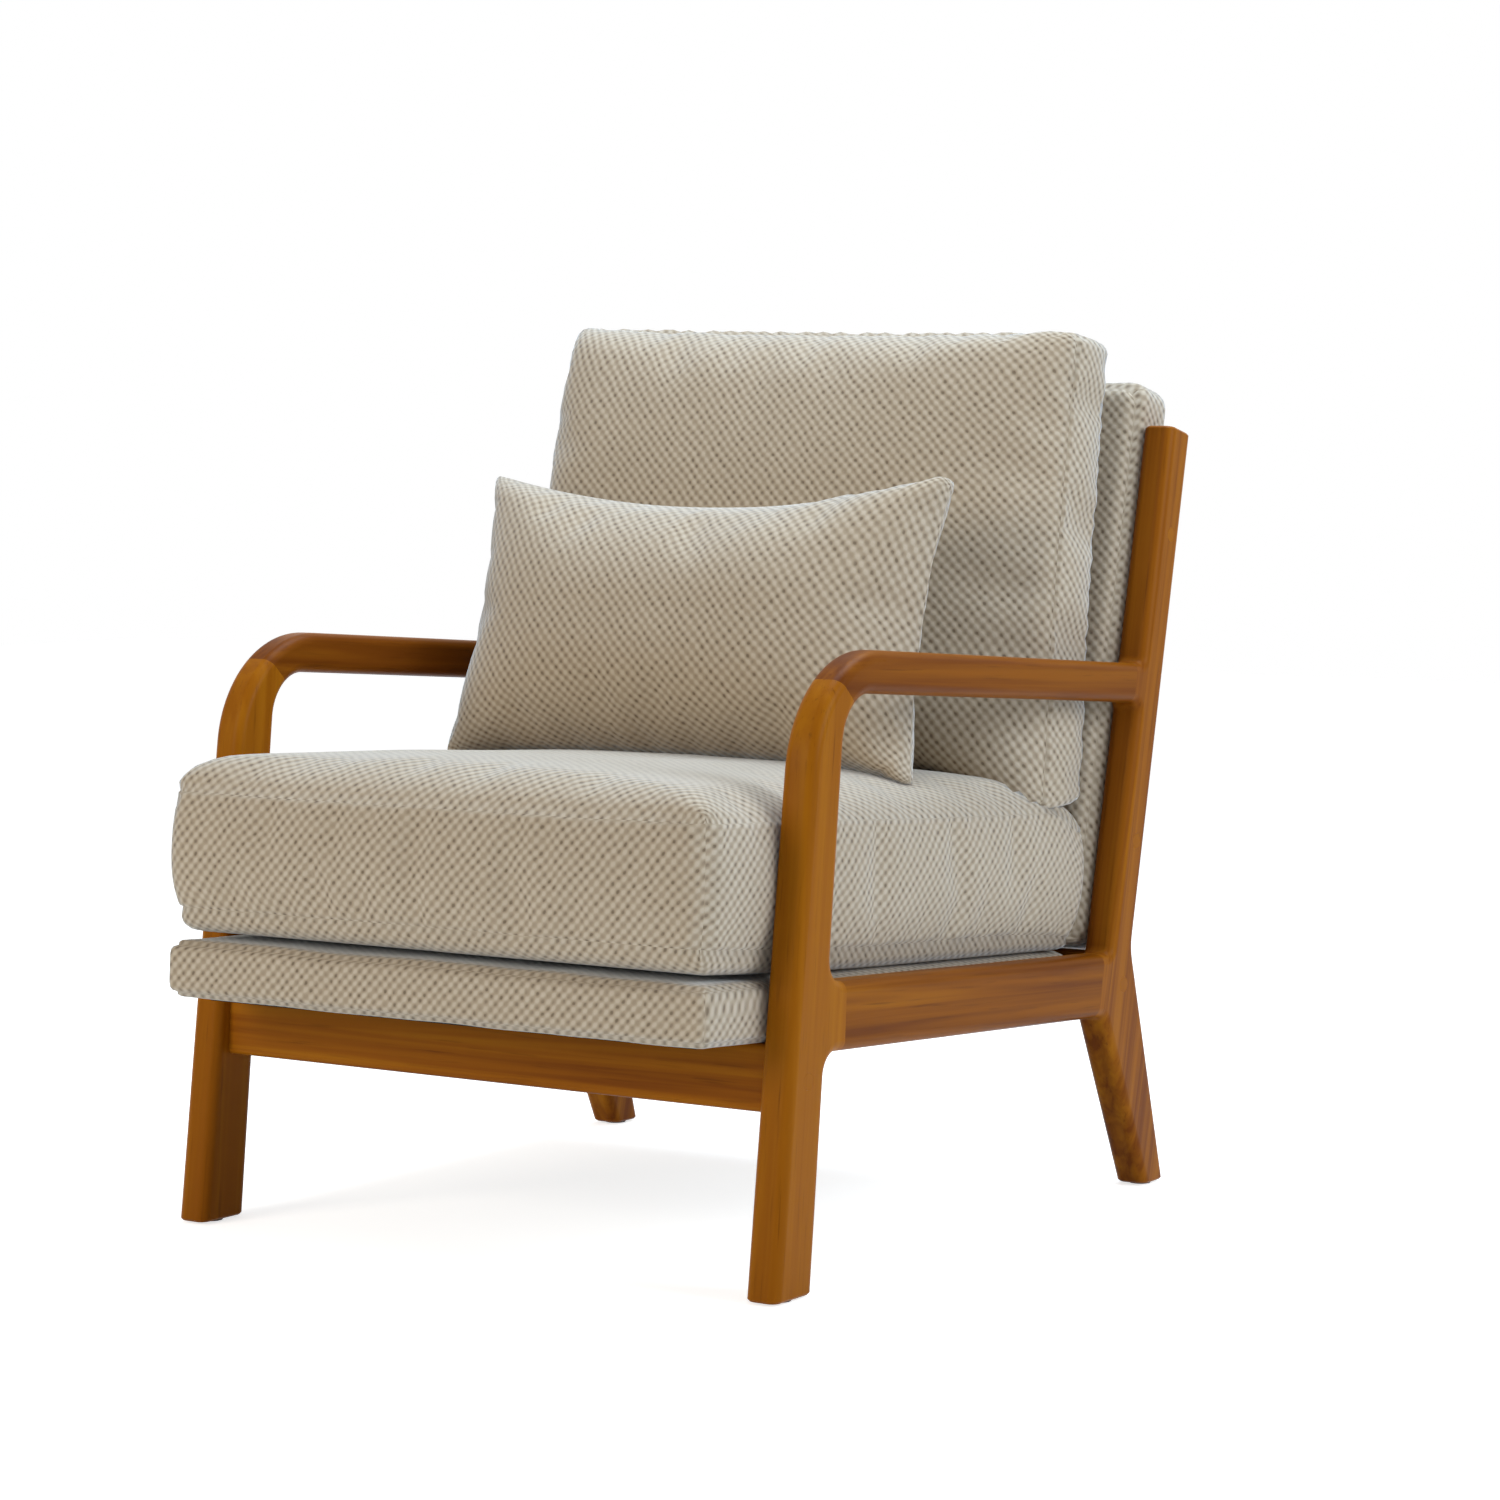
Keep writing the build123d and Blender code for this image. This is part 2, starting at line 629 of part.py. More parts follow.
def cushion(half, taper, near, far, corner, draws, levels, inset=0.0):
    low, high = levels[0][0], levels[-1][0]
    middle, squeeze = (low + high) / 2, 1 - 2 * inset / (high - low)
    deepest = max(pull for height, pull, lean in levels)
    sections = []
    for height, pull, lean in levels:
        edge = pull + inset
        hold = 1 - draw_fade * max(pull, 0) / deepest
        level = middle + (height - middle) * squeeze
        sections.append(Pos(0, 0, level) * cushion_outline(
            half - edge, half - taper - edge, near + edge, far - edge + lean,
            corner + edge * corner_growth, *[draw * hold for draw in draws]))
    return loft(sections, ruled=True)


def cover_and_core(*shape):
    outer = cushion(*shape)
    return outer, outer - cushion(*shape, inset=fabric_thick), cushion(*shape, inset=fabric_thick + soft_gap)


# Rise and pull of a crown, in even steps of a quarter turn
def dome(rise, reach, steps=crown_steps):
    turns = [radians(90 * step / steps) for step in range(1, steps + 1)]
    return [(rise * sin(turn), reach * (1 - cos(turn))) for turn in turns]


# A piece moves along a direction until it lies a rest gap away from what stops it
def settle(place, shape, way, stop):
    for _ in range(settle_steps):
        room = (place * shape).distance_to(stop) - rest_gap
        if room < rest_gap / 10:
            break
        place = Pos(*(way.normalized() * room)) * place
    return place


def standing(x, y, z, tilt):
    return Plane((x, y, z), x_dir=(1, 0, 0), z_dir=(0, -cos(radians(tilt)), sin(radians(tilt)))).location


# Seat cushion, on the deck, with a back face that leans with the panel
seat_levels = []
for rise, pull in reversed(dome(seat_cushion_roll, seat_cushion_tuck)):
    seat_levels.append((seat_cushion_roll - rise, pull, 0.0))
for share in (0.45, 0.75):
    seat_levels.append((seat_cushion_height * share, 0.0, seat_cushion_lean * share))
for rise, pull in dome(seat_cushion_crown, seat_cushion_reach, 2 * crown_steps):
    seat_levels.append((seat_cushion_height + rise, pull, seat_cushion_lean))
seat_shape = (inner_half - seat_cushion_gap, 0.0, 0.0, deck_length - seat_cushion_short,
              seat_cushion_corner, seat_cushion_draws, seat_levels)
seat_cushion, seat_cover, seat_core = cover_and_core(*seat_shape)
seat_place = seat_plane.location * Pos(0, -2 * deck_overhang, deck_proud + rest_gap)
seat_place = settle(seat_place, seat_cushion, seat_plane.y_dir, panel_body)

# Back cushion, drawn with its back down, stood against the panel and down on the seat cushion
edge_half = back_cushion_edge / 2
back_levels = []
for rise, pull in reversed(dome(back_cushion_rear_crown, back_cushion_reach)):
    back_levels.append((-edge_half - rise, pull, 0.0))
back_levels += [(-edge_half, 0.0, 0.0), (0.0, -back_cushion_bulge, 0.0), (edge_half, 0.0, 0.0)]
for rise, pull in dome(back_cushion_crown, back_cushion_reach, 2 * crown_steps):
    back_levels.append((edge_half + rise, pull, 0.0))
back_shape = (inner_half - back_cushion_gap, back_cushion_taper, 0.0, back_cushion_height,
              back_cushion_corner, back_cushion_draws, back_levels)
back_cushion, back_cover, back_core = cover_and_core(*back_shape)
seat_top = seat_height + deck_proud + seat_cushion_height + seat_cushion_crown
seat_placed = seat_place * seat_cushion
back_place = standing(0, back_origin.X - back_cushion_edge - back_cushion_crown, seat_top, back_cushion_tilt)
back_place = settle(back_place, back_cushion, Vector(0, 1, 0), panel_body)
back_place = settle(back_place, back_cushion, Vector(0, -back_way.X, -back_way.Y), seat_placed)

# Lumbar pillow, a knife-edge pillow with ears, leaning on the back cushion
pillow_profile = dome(pillow_thick / 2, pillow_reach, 2 * crown_steps)
pillow_levels = [(-rise, pull, 0.0) for rise, pull in reversed(pillow_profile)]
pillow_levels += [(0.0, 0.0, 0.0)]
pillow_levels += [(rise, pull, 0.0) for rise, pull in pillow_profile]
pillow_shape = (inner_half - pillow_gap, 0.0, 0.0, pillow_height, pillow_corner, pillow_draws, pillow_levels)
pillow, pillow_cover, pillow_core = cover_and_core(*pillow_shape)
back_placed = back_place * back_cushion
lean_on = back_place.position.Y - back_cushion_edge - back_cushion_crown - pillow_thick
pillow_place = standing(pillow_shift, lean_on, seat_top, pillow_tilt)
pillow_place = settle(pillow_place, pillow, Vector(0, 1, 0), back_placed)
down_the_back = Vector(0, -sin(radians(back_cushion_tilt)), -cos(radians(back_cushion_tilt)))
pillow_place = settle(pillow_place, pillow, down_the_back, seat_placed)


# Every piece by its node name, the left side mirrored from the right
def both(solids):
    return [*solids, *[mirrored(solid) for solid in solids]]


pairs = {
    "front_leg": front_leg, "armrest": armrest, "rear_post": rear_post, "side_rail": side_rail,
    "front_glide": glide(front_glide_y), "rear_glide": glide(rear_glide_y),
    "deck_side_bar": deck_side_bar, "panel_stile": panel_stile}
parts = {"front_rail": front_rail, "rear_rail": rear_rail}
for name, piece in pairs.items():
    parts[name + "_right"] = piece
    parts[name + "_left"] = mirrored(piece)
parts |= {
    "mitre_dowels": both(mitre_dowels), "rail_dowels": both(rail_dowels), "rail_bolts": both(rail_bolts),
    "barrel_nuts": both(barrel_nuts), "bolt_plugs": both(bolt_plugs), "panel_bolts": both(panel_bolts),
    "panel_inserts": both(panel_inserts), "deck_brackets": both(deck_brackets),
    "bracket_screws": both(bracket_screws), "deck_screws": both(rail_screws),
    "deck_front_bar": deck_front_bar, "deck_rear_bar": deck_rear_bar,
    "deck_straps_long": deck_straps_long,
    "deck_straps_cross": deck_straps_cross,
    "deck_foam": deck_foam, "deck_cover": deck_cover, "deck_dust_cover": deck_dust_cover,
    "panel_top_bar": panel_top_bar, "panel_bottom_bar": panel_bottom_bar,
    "panel_straps_up": panel_straps_up,
    "panel_straps_cross": panel_straps_cross,
    "panel_foam_front": panel_foam_front, "panel_foam_rear": panel_foam_rear, "panel_cover": panel_cover,
    "seat_cushion_cover": seat_place * seat_cover, "seat_cushion_core": seat_place * seat_core,
    "back_cushion_cover": back_place * back_cover, "back_cushion_core": back_place * back_core,
    "lumbar_pillow_cover": pillow_place * pillow_cover, "lumbar_pillow_core": pillow_place * pillow_core}

# The origin is on the floor, under the middle of the chair's depth
groups = {name: piece if isinstance(piece, list) else [piece] for name, piece in parts.items()}
boxes = [solid.bounding_box() for group in groups.values() for solid in group]
middle = (min(box.min.Y for box in boxes) + max(box.max.Y for box in boxes)) / 2
os.makedirs("parts", exist_ok=True)
for name, group in groups.items():
    solids = [solid for piece in group for solid in (Pos(0, -middle, 0) * piece).solids()]
    export_step(solids[0] if len(solids) == 1 else Compound(solids), "parts/" + name + ".step")
print("front toe is", round(middle, 3), "mm in front of the origin")
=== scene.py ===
from math import cos, pi, radians, sin, sqrt

import bmesh
import bpy
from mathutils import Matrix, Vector, noise
from mathutils.bvhtree import BVHTree


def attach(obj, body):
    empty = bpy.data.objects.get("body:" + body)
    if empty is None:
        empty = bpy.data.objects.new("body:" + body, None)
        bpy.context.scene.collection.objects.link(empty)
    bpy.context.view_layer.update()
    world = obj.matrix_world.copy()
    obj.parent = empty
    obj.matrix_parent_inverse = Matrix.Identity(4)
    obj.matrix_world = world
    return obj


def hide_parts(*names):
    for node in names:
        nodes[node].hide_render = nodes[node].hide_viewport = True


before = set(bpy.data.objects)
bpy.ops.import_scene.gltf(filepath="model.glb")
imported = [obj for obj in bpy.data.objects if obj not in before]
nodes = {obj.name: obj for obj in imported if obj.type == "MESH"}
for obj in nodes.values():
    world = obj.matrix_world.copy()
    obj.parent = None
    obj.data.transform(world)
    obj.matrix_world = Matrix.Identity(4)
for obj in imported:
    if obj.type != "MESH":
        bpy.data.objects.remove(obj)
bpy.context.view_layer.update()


# Side loops and cross rails: solid hardwood, planed and rounded over, stained a honey brown
# and sprayed with satin lacquer. Legs, arms, posts and rails are separate pieces, glued on
# tenons and a dowelled mitre, so the grain runs along each piece.
def linear(code):
    parts = [int(code[start:start + 2], 16) / 255 for start in (0, 2, 4)]
    return [p / 12.92 if p <= 0.04045 else ((p + 0.055) / 1.055) ** 2.4 for p in parts] + [1.0]


def add_node(tree, kind, inputs, **settings):
    node = tree.nodes.new("ShaderNode" + kind)
    for name, value in settings.items():
        setattr(node, name, value)
    for name, value in inputs.items():
        if isinstance(value, bpy.types.NodeSocket):
            tree.links.new(value, node.inputs[name])
        else:
            node.inputs[name].default_value = value
    return node


def finish(name):
    material = bpy.data.materials.new(name)
    material.use_nodes = True
    return material, material.node_tree, material.node_tree.nodes["Principled BSDF"]


def dress(material, *names):
    for name in names:
        nodes[name].data.materials.clear()
        nodes[name].data.materials.append(material)


# Stained and lacquered hardwood: the stain sits darker in the early wood and in the pores,
# so soft bands and short dark flecks run with the grain under an even satin film. The tone
# also drifts slowly over broad patches.
band_width, band_length = 0.009, 0.4
patch_width, patch_length = 0.07, 0.6
fleck_width, fleck_length = 0.0016, 0.04


def lacquered_hardwood(name, turn, dark, middle, light):
    material, tree, surface = finish(name)
    place = add_node(tree, "TexCoord", {})
    along = add_node(tree, "Mapping", {"Vector": place.outputs["Object"], "Rotation": turn})
    bands_at = add_node(tree, "Mapping", {
        "Vector": along.outputs["Vector"],
        "Scale": (1 / band_width, 1 / band_width, 1 / band_length)})
    bands = add_node(tree, "TexNoise", {"Vector": bands_at.outputs["Vector"], "Scale": 0.5,
                                        "Detail": 3.0, "Roughness": 0.55, "Distortion": 0.6})
    patches_at = add_node(tree, "Mapping", {
        "Vector": along.outputs["Vector"],
        "Scale": (1 / patch_width, 1 / patch_width, 1 / patch_length)})
    patches = add_node(tree, "TexNoise", {"Vector": patches_at.outputs["Vector"], "Scale": 1.0,
                                          "Detail": 2.0})
    flecks_at = add_node(tree, "Mapping", {
        "Vector": along.outputs["Vector"],
        "Scale": (1 / fleck_width, 1 / fleck_width, 1 / fleck_length)})
    flecks = add_node(tree, "TexNoise", {"Vector": flecks_at.outputs["Vector"], "Scale": 0.5,
                                         "Detail": 2.0})
    tone = add_node(tree, "Mix", {"Factor": 0.3, "A": bands.outputs["Fac"],
                                  "B": patches.outputs["Fac"]})
    stain = add_node(tree, "ValToRGB", {"Fac": tone.outputs["Result"]})
    stops = stain.color_ramp.elements
    stops[0].position, stops[0].color = 0.38, linear(dark)
    stops[1].position, stops[1].color = 0.64, linear(light)
    stops.new(0.5).color = linear(middle)
    pores = add_node(tree, "MapRange", {"Value": flecks.outputs["Fac"], "From Min": 0.6,
                                        "From Max": 0.78, "To Min": 0.0, "To Max": 0.45})
    colour = add_node(tree, "Mix", {"Factor": pores.outputs["Result"], "A": stain.outputs["Color"],
                                    "B": linear("4E2806")}, data_type="RGBA")
    tree.links.new(colour.outputs["Result"], surface.inputs["Base Color"])
    gloss = add_node(tree, "MapRange", {"Value": bands.outputs["Fac"], "To Min": 0.3,
                                        "To Max": 0.42})
    tree.links.new(gloss.outputs["Result"], surface.inputs["Roughness"])
    bump = add_node(tree, "Bump", {"Height": flecks.outputs["Fac"], "Strength": 0.12,
                                   "Distance": 0.0003})
    tree.links.new(bump.outputs["Normal"], surface.inputs["Normal"])
    surface.inputs["Specular IOR Level"].default_value = 0.045
    return material


leg_rake = 6
post_rake = 12.9
arm_slope = 3.5
leg_wood = lacquered_hardwood("lacquered_hardwood_leg", (radians(leg_rake), 0, 0),
                              "8C5009", "94570B", "9E610E")
post_wood = lacquered_hardwood("lacquered_hardwood_post", (radians(post_rake), 0, 0),
                               "70390A", "8A4F0F", "A26414")
arm_wood = lacquered_hardwood("lacquered_hardwood_arm", (radians(90 + arm_slope), 0, 0),
                              "612F06", "733D09", "864D0D")
side_rail_wood = lacquered_hardwood("lacquered_hardwood_side_rail", (radians(90 + arm_slope), 0, 0),
                                    "683505", "814808", "985C0C")
rail_wood = lacquered_hardwood("lacquered_hardwood_cross_rail", (0, radians(90), 0),
                               "7C420C", "96570F", "AA6B14")
dress(leg_wood, "front_leg_right", "front_leg_left", "bolt_plugs")
dress(post_wood, "rear_post_right", "rear_post_left")
dress(arm_wood, "armrest_right", "armrest_left")
dress(side_rail_wood, "side_rail_right", "side_rail_left")
dress(rail_wood, "front_rail", "rear_rail")


# Frames inside the deck and the back panel: sawn softwood bars and birch dowels, left bare.
# Pale and dry to the eye, with faint saw lines along the bars.
saw_line, saw_line_length = 0.002, 0.3
bare_wood, tree, surface = finish("sawn_softwood")
place = add_node(tree, "TexCoord", {})
streaks_at = add_node(tree, "Mapping", {"Vector": place.outputs["Object"],
                                        "Scale": (1 / saw_line_length, 1 / saw_line, 1 / saw_line)})
streaks = add_node(tree, "TexNoise", {"Vector": streaks_at.outputs["Vector"], "Scale": 0.5,
                                      "Detail": 3.0})
shade = add_node(tree, "ValToRGB", {"Fac": streaks.outputs["Fac"]})
shade.color_ramp.elements[0].color = linear("B8935F")
shade.color_ramp.elements[1].color = linear("D8BC8C")
tree.links.new(shade.outputs["Color"], surface.inputs["Base Color"])
surface.inputs["Roughness"].default_value = 0.8
dress(bare_wood, "deck_front_bar", "deck_rear_bar", "deck_side_bar_right", "deck_side_bar_left",
      "panel_stile_right", "panel_stile_left", "panel_top_bar", "panel_bottom_bar",
      "mitre_dowels", "rail_dowels")


# Fittings: zinc-plated steel bolts, nuts, inserts, angle brackets and screws, mostly sunk in
# the wood. The plating is bright with a faint cloudy bloom.
bloom_size = 0.008
zinc, tree, surface = finish("zinc_plated_steel")
place = add_node(tree, "TexCoord", {})
bloom = add_node(tree, "TexNoise", {"Vector": place.outputs["Object"], "Scale": 1 / bloom_size,
                                    "Detail": 2.0})
shine = add_node(tree, "MapRange", {"Value": bloom.outputs["Fac"], "To Min": 0.28, "To Max": 0.42})
tree.links.new(shine.outputs["Result"], surface.inputs["Roughness"])
surface.inputs["Base Color"].default_value = linear("C2C1BB")
surface.inputs["Metallic"].default_value = 1.0
dress(zinc, "rail_bolts", "barrel_nuts", "panel_bolts", "panel_inserts", "deck_brackets",
      "bracket_screws", "deck_screws")


# Floor glides: round discs of black polyethylene, moulded with a pin and pressed into each foot.
# Dull, with a fine moulded grit.
grit_size = 0.0005
glide_plastic, tree, surface = finish("moulded_polyethylene")
place = add_node(tree, "TexCoord", {})
grit = add_node(tree, "TexNoise", {"Vector": place.outputs["Object"], "Scale": 1 / grit_size})
bump = add_node(tree, "Bump", {"Height": grit.outputs["Fac"], "Strength": 0.15, "Distance": 0.0002})
tree.links.new(bump.outputs["Normal"], surface.inputs["Normal"])
surface.inputs["Base Color"].default_value = linear("2A2622")
surface.inputs["Roughness"].default_value = 0.6
dress(glide_plastic, "front_glide_right", "front_glide_left", "rear_glide_right", "rear_glide_left")


# Webbing: flat straps of polypropylene and rubber, woven across each other and stapled to the
# bars. Black with a rib, drawn broader than on real webbing. A wave texture turns through
# 20 radians in one unit of its scale.
rib_spacing = 0.01885
wave_turn = 20
strap_web, tree, surface = finish("woven_rubber_webbing")
place = add_node(tree, "TexCoord", {})
ribs = add_node(tree, "TexWave", {"Vector": place.outputs["Object"],
                                  "Scale": 2 * pi / rib_spacing / wave_turn})
shade = add_node(tree, "ValToRGB", {"Fac": ribs.outputs["Fac"]})
shade.color_ramp.elements[0].color = linear("24211E")
shade.color_ramp.elements[1].color = linear("4A443C")
tree.links.new(shade.outputs["Color"], surface.inputs["Base Color"])
surface.inputs["Roughness"].default_value = 0.85
dress(strap_web, "deck_straps_long", "deck_straps_cross", "panel_straps_up", "panel_straps_cross")


# Seat deck: a sprung frame with thin foam, wrapped in the chair's fabric and stapled below.
# The wrap is taut, so its faces are almost flat and its edges softly rounded.
def tilted(tilt):
    angle = radians(tilt)
    return Vector((0, cos(angle), -sin(angle))), Vector((0, sin(angle), cos(angle)))


def measured(node, second, third):
    points = [vertex.co for vertex in nodes[node].data.vertices]
    spans = []
    for way in (Vector((1, 0, 0)), second, third):
        along = [point.dot(way) for point in points]
        spans.append((min(along), max(along)))
    return spans


def halves(spans):
    return [(high - low) / 2 for low, high in spans], [(high + low) / 2 for low, high in spans]


def ticks(half, step, near=(0.002, 0.005, 0.01, 0.018)):
    count = max(2, round(2 * (half - near[-1]) / step))
    inside = half - near[-1]
    middle = [-inside + 2 * inside * index / count for index in range(count + 1)]
    lows = [gap - half for gap in (0, *near[:-1])]
    return [value / half for value in lows + middle + [-low for low in reversed(lows)]]


def rounded_plan(x, y, half_x, half_y, radius):
    a = (abs(x) - half_x + radius) / radius
    b = (abs(y) - half_y + radius) / radius
    if a > 0 and b > 0:
        bent_a, bent_b = a * sqrt(1 - b * b / 2), b * sqrt(1 - a * a / 2)
        x = (half_x - radius + radius * bent_a) * (1 if x > 0 else -1)
        y = (half_y - radius + radius * bent_b) * (1 if y > 0 else -1)
    return x, y


# The wrap rolls over an edge by 0.6 of a full round, and two rolls blend where they meet.
edge_roll = 0.6
roll_blend = 4


def fall(depth, turn):
    rest = min(turn, max(0.0, turn - depth))
    return turn - sqrt(turn ** 2 - rest ** 2)


def rolled(*edges):
    total = sum(fall(depth, turn) ** roll_blend for depth, turn in edges)
    return edge_roll * total ** (1 / roll_blend)


def sewn_panels(us, vs, ws, spot):
    places = {}
    points = []

    def corner(i, j, k):
        if (i, j, k) not in places:
            places[i, j, k] = len(points)
            points.append(spot(us[i], vs[j], ws[k]))
        return places[i, j, k]

    a, b, c = len(us), len(vs), len(ws)
    panels = [
        [[corner(i, j, c - 1) for i in range(a)] for j in range(b)],
        [[corner(a - 1 - i, j, 0) for i in range(a)] for j in range(b)],
        [[corner(i, 0, k) for i in range(a)] for k in range(c)],
        [[corner(a - 1 - i, b - 1, k) for i in range(a)] for k in range(c)],
        [[corner(a - 1, j, k) for j in range(b)] for k in range(c)],
        [[corner(0, b - 1 - j, k) for j in range(b)] for k in range(c)]]
    return points, panels


def sewn_piece(name, points, panels, material):
    faces = []
    for grid in panels:
        for low, high in zip(grid, grid[1:]):
            faces += [(low[i], low[i + 1], high[i + 1], high[i]) for i in range(len(low) - 1)]
    mesh = bpy.data.meshes.new(name)
    mesh.from_pydata(points, [], faces)
    mesh.materials.append(material)
    mesh.shade_smooth()
    piece = bpy.data.objects.new(name, mesh)
    bpy.context.scene.collection.objects.link(piece)
    return piece


def lay_weave(piece, panels, slant, side_slant):
    mesh = piece.data
    layer = mesh.uv_layers.new(name="weave")
    spots = [vertex.co.copy() for vertex in mesh.vertices]
    values = []

    def runs(line):
        total = [0.0]
        for first, second in zip(line, line[1:]):
            total.append(total[-1] + (spots[second] - spots[first]).length)
        return [value - total[len(total) // 2] for value in total]

    for grid, turned in zip(panels, (slant, slant, slant, slant, side_slant, side_slant)):
        across = runs(grid[len(grid) // 2])
        up = runs([row[len(row) // 2] for row in grid])
        for j in range(len(grid) - 1):
            for i in range(len(across) - 1):
                for di, dj in ((0, 0), (1, 0), (1, 1), (0, 1)):
                    values += [turned * across[i + di], up[j + dj]]
    layer.data.foreach_set("uv", values)


# Chunky polyester weave: thick twisted yarns float over one another in staggered rows, with a
# pit between each four. Painted highlight lightens the yarn tops, painted shade darkens the yarn
# down towards each pit, and each pit is an uneven dark patch of painted shade. The rows drift a
# little, and the brushed fibres give a pale bloom where the cloth turns away.
pit_spacing = 0.0114
row_spacing = 0.0057
drift_size, drift_reach = 0.03, 0.005
fibre_size = 0.0022
uneven_size = 0.012
shade_size = 0.05
weave, tree, surface = finish("chunky_woven_polyester")
flat = add_node(tree, "UVMap", {}, uv_map="weave")
drift = add_node(tree, "TexNoise", {"Vector": flat.outputs["UV"], "Scale": 1 / drift_size,
                                    "Detail": 1.0})
threads = add_node(tree, "VectorMath", {0: drift.outputs["Color"], 1: (drift_reach, drift_reach, 0),
                                        2: flat.outputs["UV"]}, operation="MULTIPLY_ADD")
axes = add_node(tree, "SeparateXYZ", {"Vector": threads.outputs["Vector"]})
columns = add_node(tree, "Math", {0: axes.outputs["X"], 1: 2 * pi / pit_spacing},
                   operation="MULTIPLY")
rows = add_node(tree, "Math", {0: axes.outputs["Y"], 1: pi / row_spacing}, operation="MULTIPLY")
rising = add_node(tree, "Math", {0: columns.outputs[0], 1: rows.outputs[0]}, operation="ADD")
dropping = add_node(tree, "Math", {0: columns.outputs[0], 1: rows.outputs[0]}, operation="SUBTRACT")
rising_wave = add_node(tree, "Math", {0: rising.outputs[0]}, operation="COSINE")
dropping_wave = add_node(tree, "Math", {0: dropping.outputs[0]}, operation="COSINE")
falling = add_node(tree, "Math", {0: dropping_wave.outputs[0], 1: 0.75}, operation="MULTIPLY")
lattice = add_node(tree, "Math", {0: rising_wave.outputs[0], 1: 1.25, 2: falling.outputs[0]},
                   operation="MULTIPLY_ADD")
fluff = add_node(tree, "TexNoise", {"Vector": flat.outputs["UV"], "Scale": 1 / fibre_size,
                                    "Detail": 2.0})
wander = add_node(tree, "Math", {0: fluff.outputs["Fac"], 1: 0.9, 2: lattice.outputs[0]},
                  operation="MULTIPLY_ADD")
# Painted highlight and shade on the yarn relief: 0 on the light yarn tops, 1 on the darker flanks.
crown_shading_mask = add_node(tree, "MapRange", {"Value": wander.outputs[0], "From Min": -1.4, "From Max": 1.2},
                  interpolation_type="SMOOTHSTEP")
# Random strength of the painted shade laid in each pit.
uneven = add_node(tree, "TexNoise", {"Vector": flat.outputs["UV"], "Scale": 1 / uneven_size,
                                     "Detail": 1.0})
depth = add_node(tree, "MapRange", {"Value": uneven.outputs["Fac"], "From Min": 0.35,
                                    "From Max": 0.65, "To Min": 0.15, "To Max": 0.74})
# Mask of each pit, where painted shade is laid.
pit_shade_mask = add_node(tree, "MapRange", {"Value": wander.outputs[0], "From Min": 0.8, "From Max": 2.4},
                 interpolation_type="SMOOTHSTEP")
painted_pit_shade = add_node(tree, "Math", {0: pit_shade_mask.outputs["Result"], 1: depth.outputs["Result"]},
                operation="MULTIPLY")
shades = add_node(tree, "TexNoise", {"Vector": flat.outputs["UV"], "Scale": 1 / shade_size,
                                     "Detail": 3.0})
yarn = add_node(tree, "Mix", {"Factor": shades.outputs["Fac"], "A": linear("BCAE99"),
                              "B": linear("CBBFAC")}, data_type="RGBA")
# The yarn takes painted shade down its flanks (AC9C86) and painted shade in each pit (604F3D).
shaded_strands = add_node(tree, "Mix", {"Factor": crown_shading_mask.outputs["Result"], "A": yarn.outputs["Result"],
                                 "B": linear("AC9C86")}, data_type="RGBA")
cloth = add_node(tree, "Mix", {"Factor": painted_pit_shade.outputs[0], "A": shaded_strands.outputs["Result"],
                               "B": linear("604F3D")}, data_type="RGBA")
tree.links.new(cloth.outputs["Result"], surface.inputs["Base Color"])
relief = add_node(tree, "Math", {0: wander.outputs[0], 1: -0.5}, operation="MULTIPLY")
bump = add_node(tree, "Bump", {"Height": relief.outputs[0], "Strength": 0.22, "Distance": 0.0012})
tree.links.new(bump.outputs["Normal"], surface.inputs["Normal"])
surface.inputs["Roughness"].default_value = 0.92
surface.inputs["Specular IOR Level"].default_value = 0.2
surface.inputs["Sheen Weight"].default_value = 0.78
surface.inputs["Sheen Roughness"].default_value = 0.4
surface.inputs["Sheen Tint"].default_value = linear("E2ECF4")

deck_tilt = 3.3
deck_y, deck_z = tilted(deck_tilt)
deck_span = measured("deck_cover", deck_y, deck_z)
deck_half, deck_mid = halves(deck_span)
deck_round = 0.009
deck_rail_clearance = 0.02
deck_rail_from, deck_rail_run = -0.72, 0.12
deck_ripple, deck_ripples_per_metre = 0.0012, 14
wrap_step, wrap_edge_step = 0.012, 0.008


def deck_spot(u, v, w):
    x, y = rounded_plan(u * deck_half[0], v * deck_half[1], deck_half[0], deck_half[1], deck_round)
    z = w * deck_half[2]
    beside_rails = min(1.0, max(0.0, (v - deck_rail_from) / deck_rail_run)) if w > 0 else 0.0
    z -= w * rolled(((1 - abs(u)) * deck_half[0], deck_round + deck_rail_clearance * beside_rails),
                    ((1 - abs(v)) * deck_half[1], deck_round))
    inset = edge_roll * fall((1 - abs(w)) * deck_half[2], deck_round)
    x *= 1 - inset / deck_half[0]
    y *= 1 - inset / deck_half[1]
    spot = Vector((deck_mid[0] + x, 0, 0)) + deck_y * (deck_mid[1] + y) + deck_z * (deck_mid[2] + z)
    return spot + deck_z * (deck_ripple * noise.noise(spot * deck_ripples_per_metre))


deck_points, deck_panels = sewn_panels(
    ticks(deck_half[0], wrap_step), ticks(deck_half[1], wrap_step),
    ticks(deck_half[2], wrap_edge_step), deck_spot)
deck = sewn_piece("deck_upholstery", deck_points, deck_panels, weave)
lay_weave(deck, deck_panels, -1, -1)
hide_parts("deck_cover", "deck_foam")
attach(deck, "frame")


# Back panel: a webbed frame with foam on both faces, wrapped in the same fabric and bolted
# between the posts. Its edges are fuller than the deck's, but its foot is nearly square.
def leaning(lean):
    angle = radians(lean)
    return Vector((0, sin(angle), cos(angle))), Vector((0, -cos(angle), sin(angle)))


panel_y, panel_z = leaning(post_rake)
panel_half, panel_mid = halves(measured("panel_cover", panel_y, panel_z))
panel_corner = 0.02
panel_round = 0.015
panel_foot_round = 0.004
panel_ripple, panel_ripples_per_metre = 0.0015, 11


